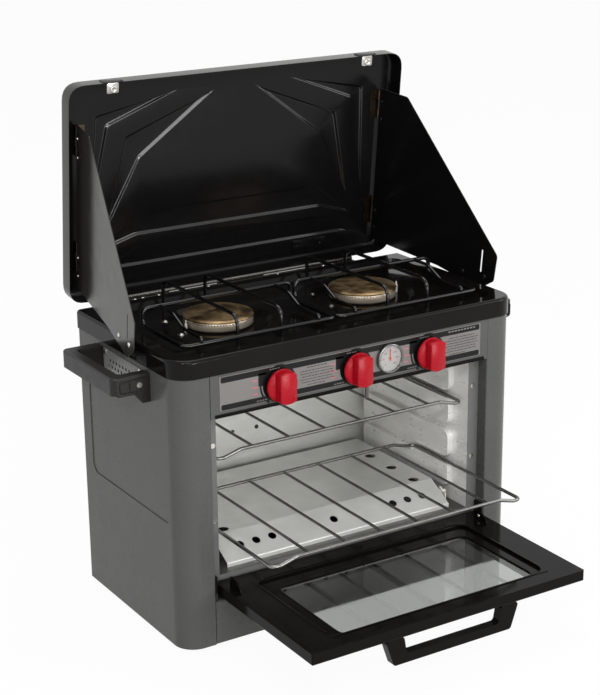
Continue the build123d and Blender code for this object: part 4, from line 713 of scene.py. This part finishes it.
# pot grates of bent wire: a frame that rises into a bridge over the burner, an arm on each side,
# and two pot wires whose ends stand on the cooktop's floor
FRAME_Z, BRIDGE_Z, ARM_Z, POT_Z = 421.5, 445.0, 429.5, 448.8
GRATE_FRONT, BRIDGE_Y, GRATE_HALF = -101.0, 15.0, 117.5
POT_FRONT, POT_BACK = -96.5, 114
for side, middle in BURNERS.items():
    grate = Form(f"grate_wires_{side}", ("black_wire",), f"grate_{side}", "dark_enamel",
                 Matrix.Translation((middle, 0, 0)))
    grate.tube(bent([(-GRATE_HALF, GRATE_FRONT, FRAME_Z), (GRATE_HALF, GRATE_FRONT, FRAME_Z),
                     (GRATE_HALF, BRIDGE_Y, FRAME_Z), (GRATE_HALF, BRIDGE_Y, BRIDGE_Z),
                     (-GRATE_HALF, BRIDGE_Y, BRIDGE_Z), (-GRATE_HALF, BRIDGE_Y, FRAME_Z)], 11, True),
               3.0, True, 16)
    for x in (-91.0, 91.0):
        grate.tube(bent([(x, BRIDGE_Y, BRIDGE_Z), (x, -20, BRIDGE_Z), (x, -53, ARM_Z),
                         (x, GRATE_FRONT, ARM_Z), (x, GRATE_FRONT, FRAME_Z)], 9), 2.4, False, 14)
    for x in (-34.0, 34.0):
        grate.tube(bent([(x, POT_FRONT, PAN_FLOOR + 0.3), (x, POT_FRONT, POT_Z), (x, POT_BACK, POT_Z),
                         (x, POT_BACK, PAN_FLOOR + 0.3)], 16), 2.6, False, 14)
    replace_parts(grate.finish(60), f"grate_{side}")

# bolts in the cooktop beside each burner, and two rivets in the oven's back; the right burner's bolts are
# darker zinc than the left's, painted shade
bolts = Form("cooktop_bolts", ("steel", "hinge"), "cabinet", "screw_metal")
for middle in BURNERS.values():
    for x, y in ((-76.5, -17), (-66.5, 48)):
        spot = facing((middle + x, y, PAN_FLOOR), (0, 0, 1), (0, 1, 0))
        # the right burner's bolts take the darker zinc: painted shade on the same bolts as the left's
        bolts.lathe(spot, [(4.6, 0.0), (4.6, 0.5), (4.2, 0.8), (0.1, 0.8)], 24, int(middle > 0))
        bolts.screw(spot @ Matrix.Translation((0, 0, 0.8)), 3.2, 1.8, int(middle > 0))
bolts.finish()

dots = Form("oven_back_rivets", ("black",), "cabinet", "galvanised")
for x in (-31.4, 10.9):
    dots.lathe(facing((x, 142.5, 183.3), TO_FRONT), [(3.4, 0.0), (3.2, 0.8), (2.0, 1.4), (0.1, 1.5)], 18)
dots.finish()

# ---------------------------------------------------------------- control label, drawn with thin ink
LABEL_FACE = FRONT_FACE - 0.5
KNOBS, KNOB_HEIGHT = (-121.5, 0.0, 121.5), 361.5
DIAL = (54.5, 365.5)


def on_label(x, z, lift=0.0):
    return facing((x, LABEL_FACE - lift, z), TO_FRONT)


label = Form("control_label_print", ("ink", "ink_grey", "ink_red", "label"), "cabinet", "label")
for z, height in ((383.2, 8.0), (345.4, 7.6)):
    label.slab(on_label(0, z), box_outline(421, height, 2.4), 0.06)
for index, x in enumerate(KNOBS):
    label.lathe(on_label(x, KNOB_HEIGHT + 1.5, 0.02), [(26.0, 0.0), (26.0, 0.06)], 48)
    label.slab(on_label(x - 26.0, KNOB_HEIGHT + 11.5, 0.01), box_outline(13.0, 18.0, 1.5), 0.05)
    # the arc beside each knob that tells how far it is turned, narrowing to a point
    arc = []
    for n in range(25):
        turn = math.radians(140 + n * 4)
        arc.append((30.5 * math.cos(turn), 30.5 * math.sin(turn)))
    for n in reversed(range(25)):
        turn = math.radians(140 + n * 4)
        reach = 28.6 - 1.6 * n / 24
        arc.append((reach * math.cos(turn), reach * math.sin(turn)))
    if index != 1:
        label.slab(on_label(x, KNOB_HEIGHT + 1.5), arc[::-1], 0.05)
    # three marks beside the arc, and short ones over and under the knob in the black bands
    for height, length in ((9.5, 7.0), (0.0, 9.0), (-9.0, 6.5)):
        label.slab(on_label(x - 37.5, KNOB_HEIGHT + 2 + height), box_outline(length, 1.6, 0.5), 0.05, 0.0, 2)
    for n in range(4):
        label.slab(on_label(x - 13.5 + n * 4.2, 384.4, 0.06), box_outline(3.0, 1.3, 0.4), 0.03, 0.0, 3)
        label.slab(on_label(x - 34 + n * 4.2, 344.2, 0.06), box_outline(3.0, 1.2, 0.4), 0.03, 0.0, 3)


def text_lines(x0, x1, tops, seed, height=1.3):
    """Rows of short strokes that stand for small print, of uneven lengths."""
    stroke = random.Random(seed)
    for z, start, end in tops:
        x, stop = x0 + (x1 - x0) * start, x0 + (x1 - x0) * end
        while x < stop - 1.5:
            length = min(stroke.uniform(1.6, 5.0), stop - x)
            label.slab(on_label(x + length / 2, z), box_outline(length, height), 0.05, 0.0, 1)
            x += length + 1.1


text_lines(-89, -34, ((376.5, 0.2, 0.8), (371.8, 0.0, 1.0), (367.9, 0.0, 0.96), (364.0, 0.05, 1.0),
                      (360.1, 0.0, 0.9), (356.2, 0.04, 0.97), (352.3, 0.2, 0.7)), 5)
text_lines(152, 208, ((374.4, 0.1, 0.9), (370.5, 0.0, 1.0), (366.6, 0.02, 0.95), (362.7, 0.0, 1.0),
                      (358.8, 0.06, 0.92), (354.9, 0.0, 0.98), (351.0, 0.1, 0.6)), 9)
for n in range(9):
    label.slab(on_label(158 + n * 5.4, 384.2, 0.06), box_outline(4.0, 2.0, 0.5), 0.03, 0.0, 3)
label.finish()

# ---------------------------------------------------------------- knobs: a dished skirt with a broad grip
for side, x in zip(("left", "middle", "right"), KNOBS):
    knob = Form(f"knob_{side}_grip", ("knob",), f"knob_{side}", "red_knob")
    at = facing((x, -152.0, KNOB_HEIGHT), TO_FRONT)
    knob.lathe(at, [(22.4, 0.0), (23.0, 0.6), (23.0, 2.2), (22.6, 3.2), (21.4, 4.4), (19.5, 5.6),
                    (0.1, 6.2)], 72)
    half, reach = 12.6, 22.0
    swing = math.degrees(math.acos(half / reach))
    grip = [(reach * math.cos(math.radians(a)), reach * math.sin(math.radians(a)))
            for a in (swing + n * (180 - 2 * swing) / 14 for n in range(15))]
    grip += [(-px, -py) for px, py in grip]
    knob.slab(at @ Matrix.Translation((0, 0, 3.0)), rounded(grip, 1.2, 3), 16.0, 1.6)
    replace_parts(knob.finish(35), f"knob_{side}")

# the black strip along the lower edge of the control panel, over the oven's mouth
trim = Form("mouth_strip", ("door",), "cabinet", "black_enamel")
trim.slab(facing((0, FRONT_FACE, 334.6), TO_FRONT), box_outline(440, 5.2, 1.0), 0.9, 0.3)
trim.finish()

# ---------------------------------------------------------------- thermometer dial
dial = Form("thermometer_dial", ("dial", "ink", "ink_red"), "cabinet", "dial_case")
FACE = facing((DIAL[0], -149.02, DIAL[1]), TO_FRONT)
dial.lathe(FACE, [(18.3, 0.0), (18.3, 0.08)], 56)
RAISED = FACE @ Matrix.Translation((0, 0, 0.08))
for n in range(31):
    turn = math.radians(225 - n * 9)
    long = n % 5 == 0
    spot = RAISED @ Matrix.Rotation(turn, 4, "Z") @ Matrix.Translation((16.2 if long else 16.8, 0, 0))
    dial.slab(spot, box_outline(3.0 if long else 1.8, 0.7 if long else 0.4), 0.04, 0.0, 1)
band = [(13.6 * math.cos(math.radians(a)), 13.6 * math.sin(math.radians(a))) for a in range(-40, 41, 5)]
band += [(12.9 * math.cos(math.radians(a)), 12.9 * math.sin(math.radians(a))) for a in range(40, -41, -5)]
dial.slab(RAISED, band, 0.03, 0.0, 2)
for n, number in enumerate(("0", "50", "100", "150", "200", "250", "300")):
    turn = math.radians(225 - n * 45)
    words = bpy.data.curves.new("number", "FONT")
    words.body, words.size, words.align_x, words.align_y = number, 3.6, "CENTER", "CENTER"
    holder = bpy.data.objects.new("number", words)
    bpy.context.scene.collection.objects.link(holder)
    flat = bpy.data.meshes.new_from_object(holder)
    spot = RAISED @ Matrix.Translation((11.0 * math.cos(turn), 11.0 * math.sin(turn), 0.04))
    dial.add([spot @ v.co for v in flat.vertices], [tuple(p.vertices) for p in flat.polygons], 1)
    bpy.data.objects.remove(holder)
    bpy.data.meshes.remove(flat)
    bpy.data.curves.remove(words)
dial.finish()

# ---------------------------------------------------------------- handles and door
beads = Form("handle_beads", ("plastic",), "cabinet", "handle_plastic")
for sign in (-1, 1):
    frame_at = facing((sign * 306.5, -73.0, 371.5), TO_FRONT)
    for width, height, radius, reach in ((37.0, 21.5, 0.9, 5.5), (25.0, 15.0, 0.5, 4.0)):
        lift = 0.0 if width > 30 else 1.5
        path = [frame_at @ Vector((*p, lift)) for p in box_outline(width, height, reach)]
        beads.tube(path, radius, True, 8)
beads.finish()

# the window's recess has rounded corners: a rim closes in its square ones, with a bead round the glass
WINDOW, GLASS_EDGE = (350.0, 190.0, -254.5), (312.0, 158.0, -269.7)
rim = Form("door_window_rim", ("door",), "door", "door_enamel")
for width, length, middle, level, reach, bead in ((*WINDOW, 93.7, 20.0, 1.1), (*GLASS_EDGE, 90.7, 14.0, 1.0)):
    outer = box_outline(width + 5, length + 5, 2.0, (0, middle))
    inner = [tuple(p) for p in rounded(box_outline(width - 1, length - 1, 0, (0, middle)), reach, 10)]
    borders = [[Vector((*p, level + 0.35)) for p in outer], [Vector((*p, level + 0.35)) for p in inner]]
    tops = [tuple(p) for border in borders for p in border]
    faces = [tuple(f) for f in tessellate_polygon(borders)]
    rim.add(tops, faces)
    rim.add([(x, y, level - 0.6) for x, y, z in tops], faces)
    for outline in (outer, inner):
        rim.loft([[(*p, height) for p in outline] for height in (level - 0.6, level + 0.35)])
    rim.tube([(*p, level + 0.1) for p in inset(inner, -1.2)], bead, True, 10)
rim.merged = True
rim.finish(35)

# lugs at the door's hinges, which go into the oven's mouth when it closes
LUG_X = 205.0
lugs = Form("door_hinge_lugs", ("door", "bright"), "door", "door_enamel")
profile = [(-150.5, 93.2), (-150.5, 105.0), (-153.0, 107.0)]
profile += [(-153.0 - 27.0 * math.sin(turn), 93.0 + 14.0 * math.cos(turn))
            for turn in (math.radians(a) for a in range(8, 89, 8))]
profile += [(-180.0, 93.2)]
for sign in (-1, 1):
    inner = Matrix(((0, 0, sign, sign * LUG_X), (1, 0, 0, 0), (0, 1, 0, 0), (0, 0, 0, 1)))
    lugs.slab(inner, profile if sign < 0 else profile[::-1], 2.0, 0.3)
    lugs.screw(facing((sign * LUG_X, -162.0, 99.0), (-sign, 0, 0)), 2.6, 1.2, 1)
lugs.finish()
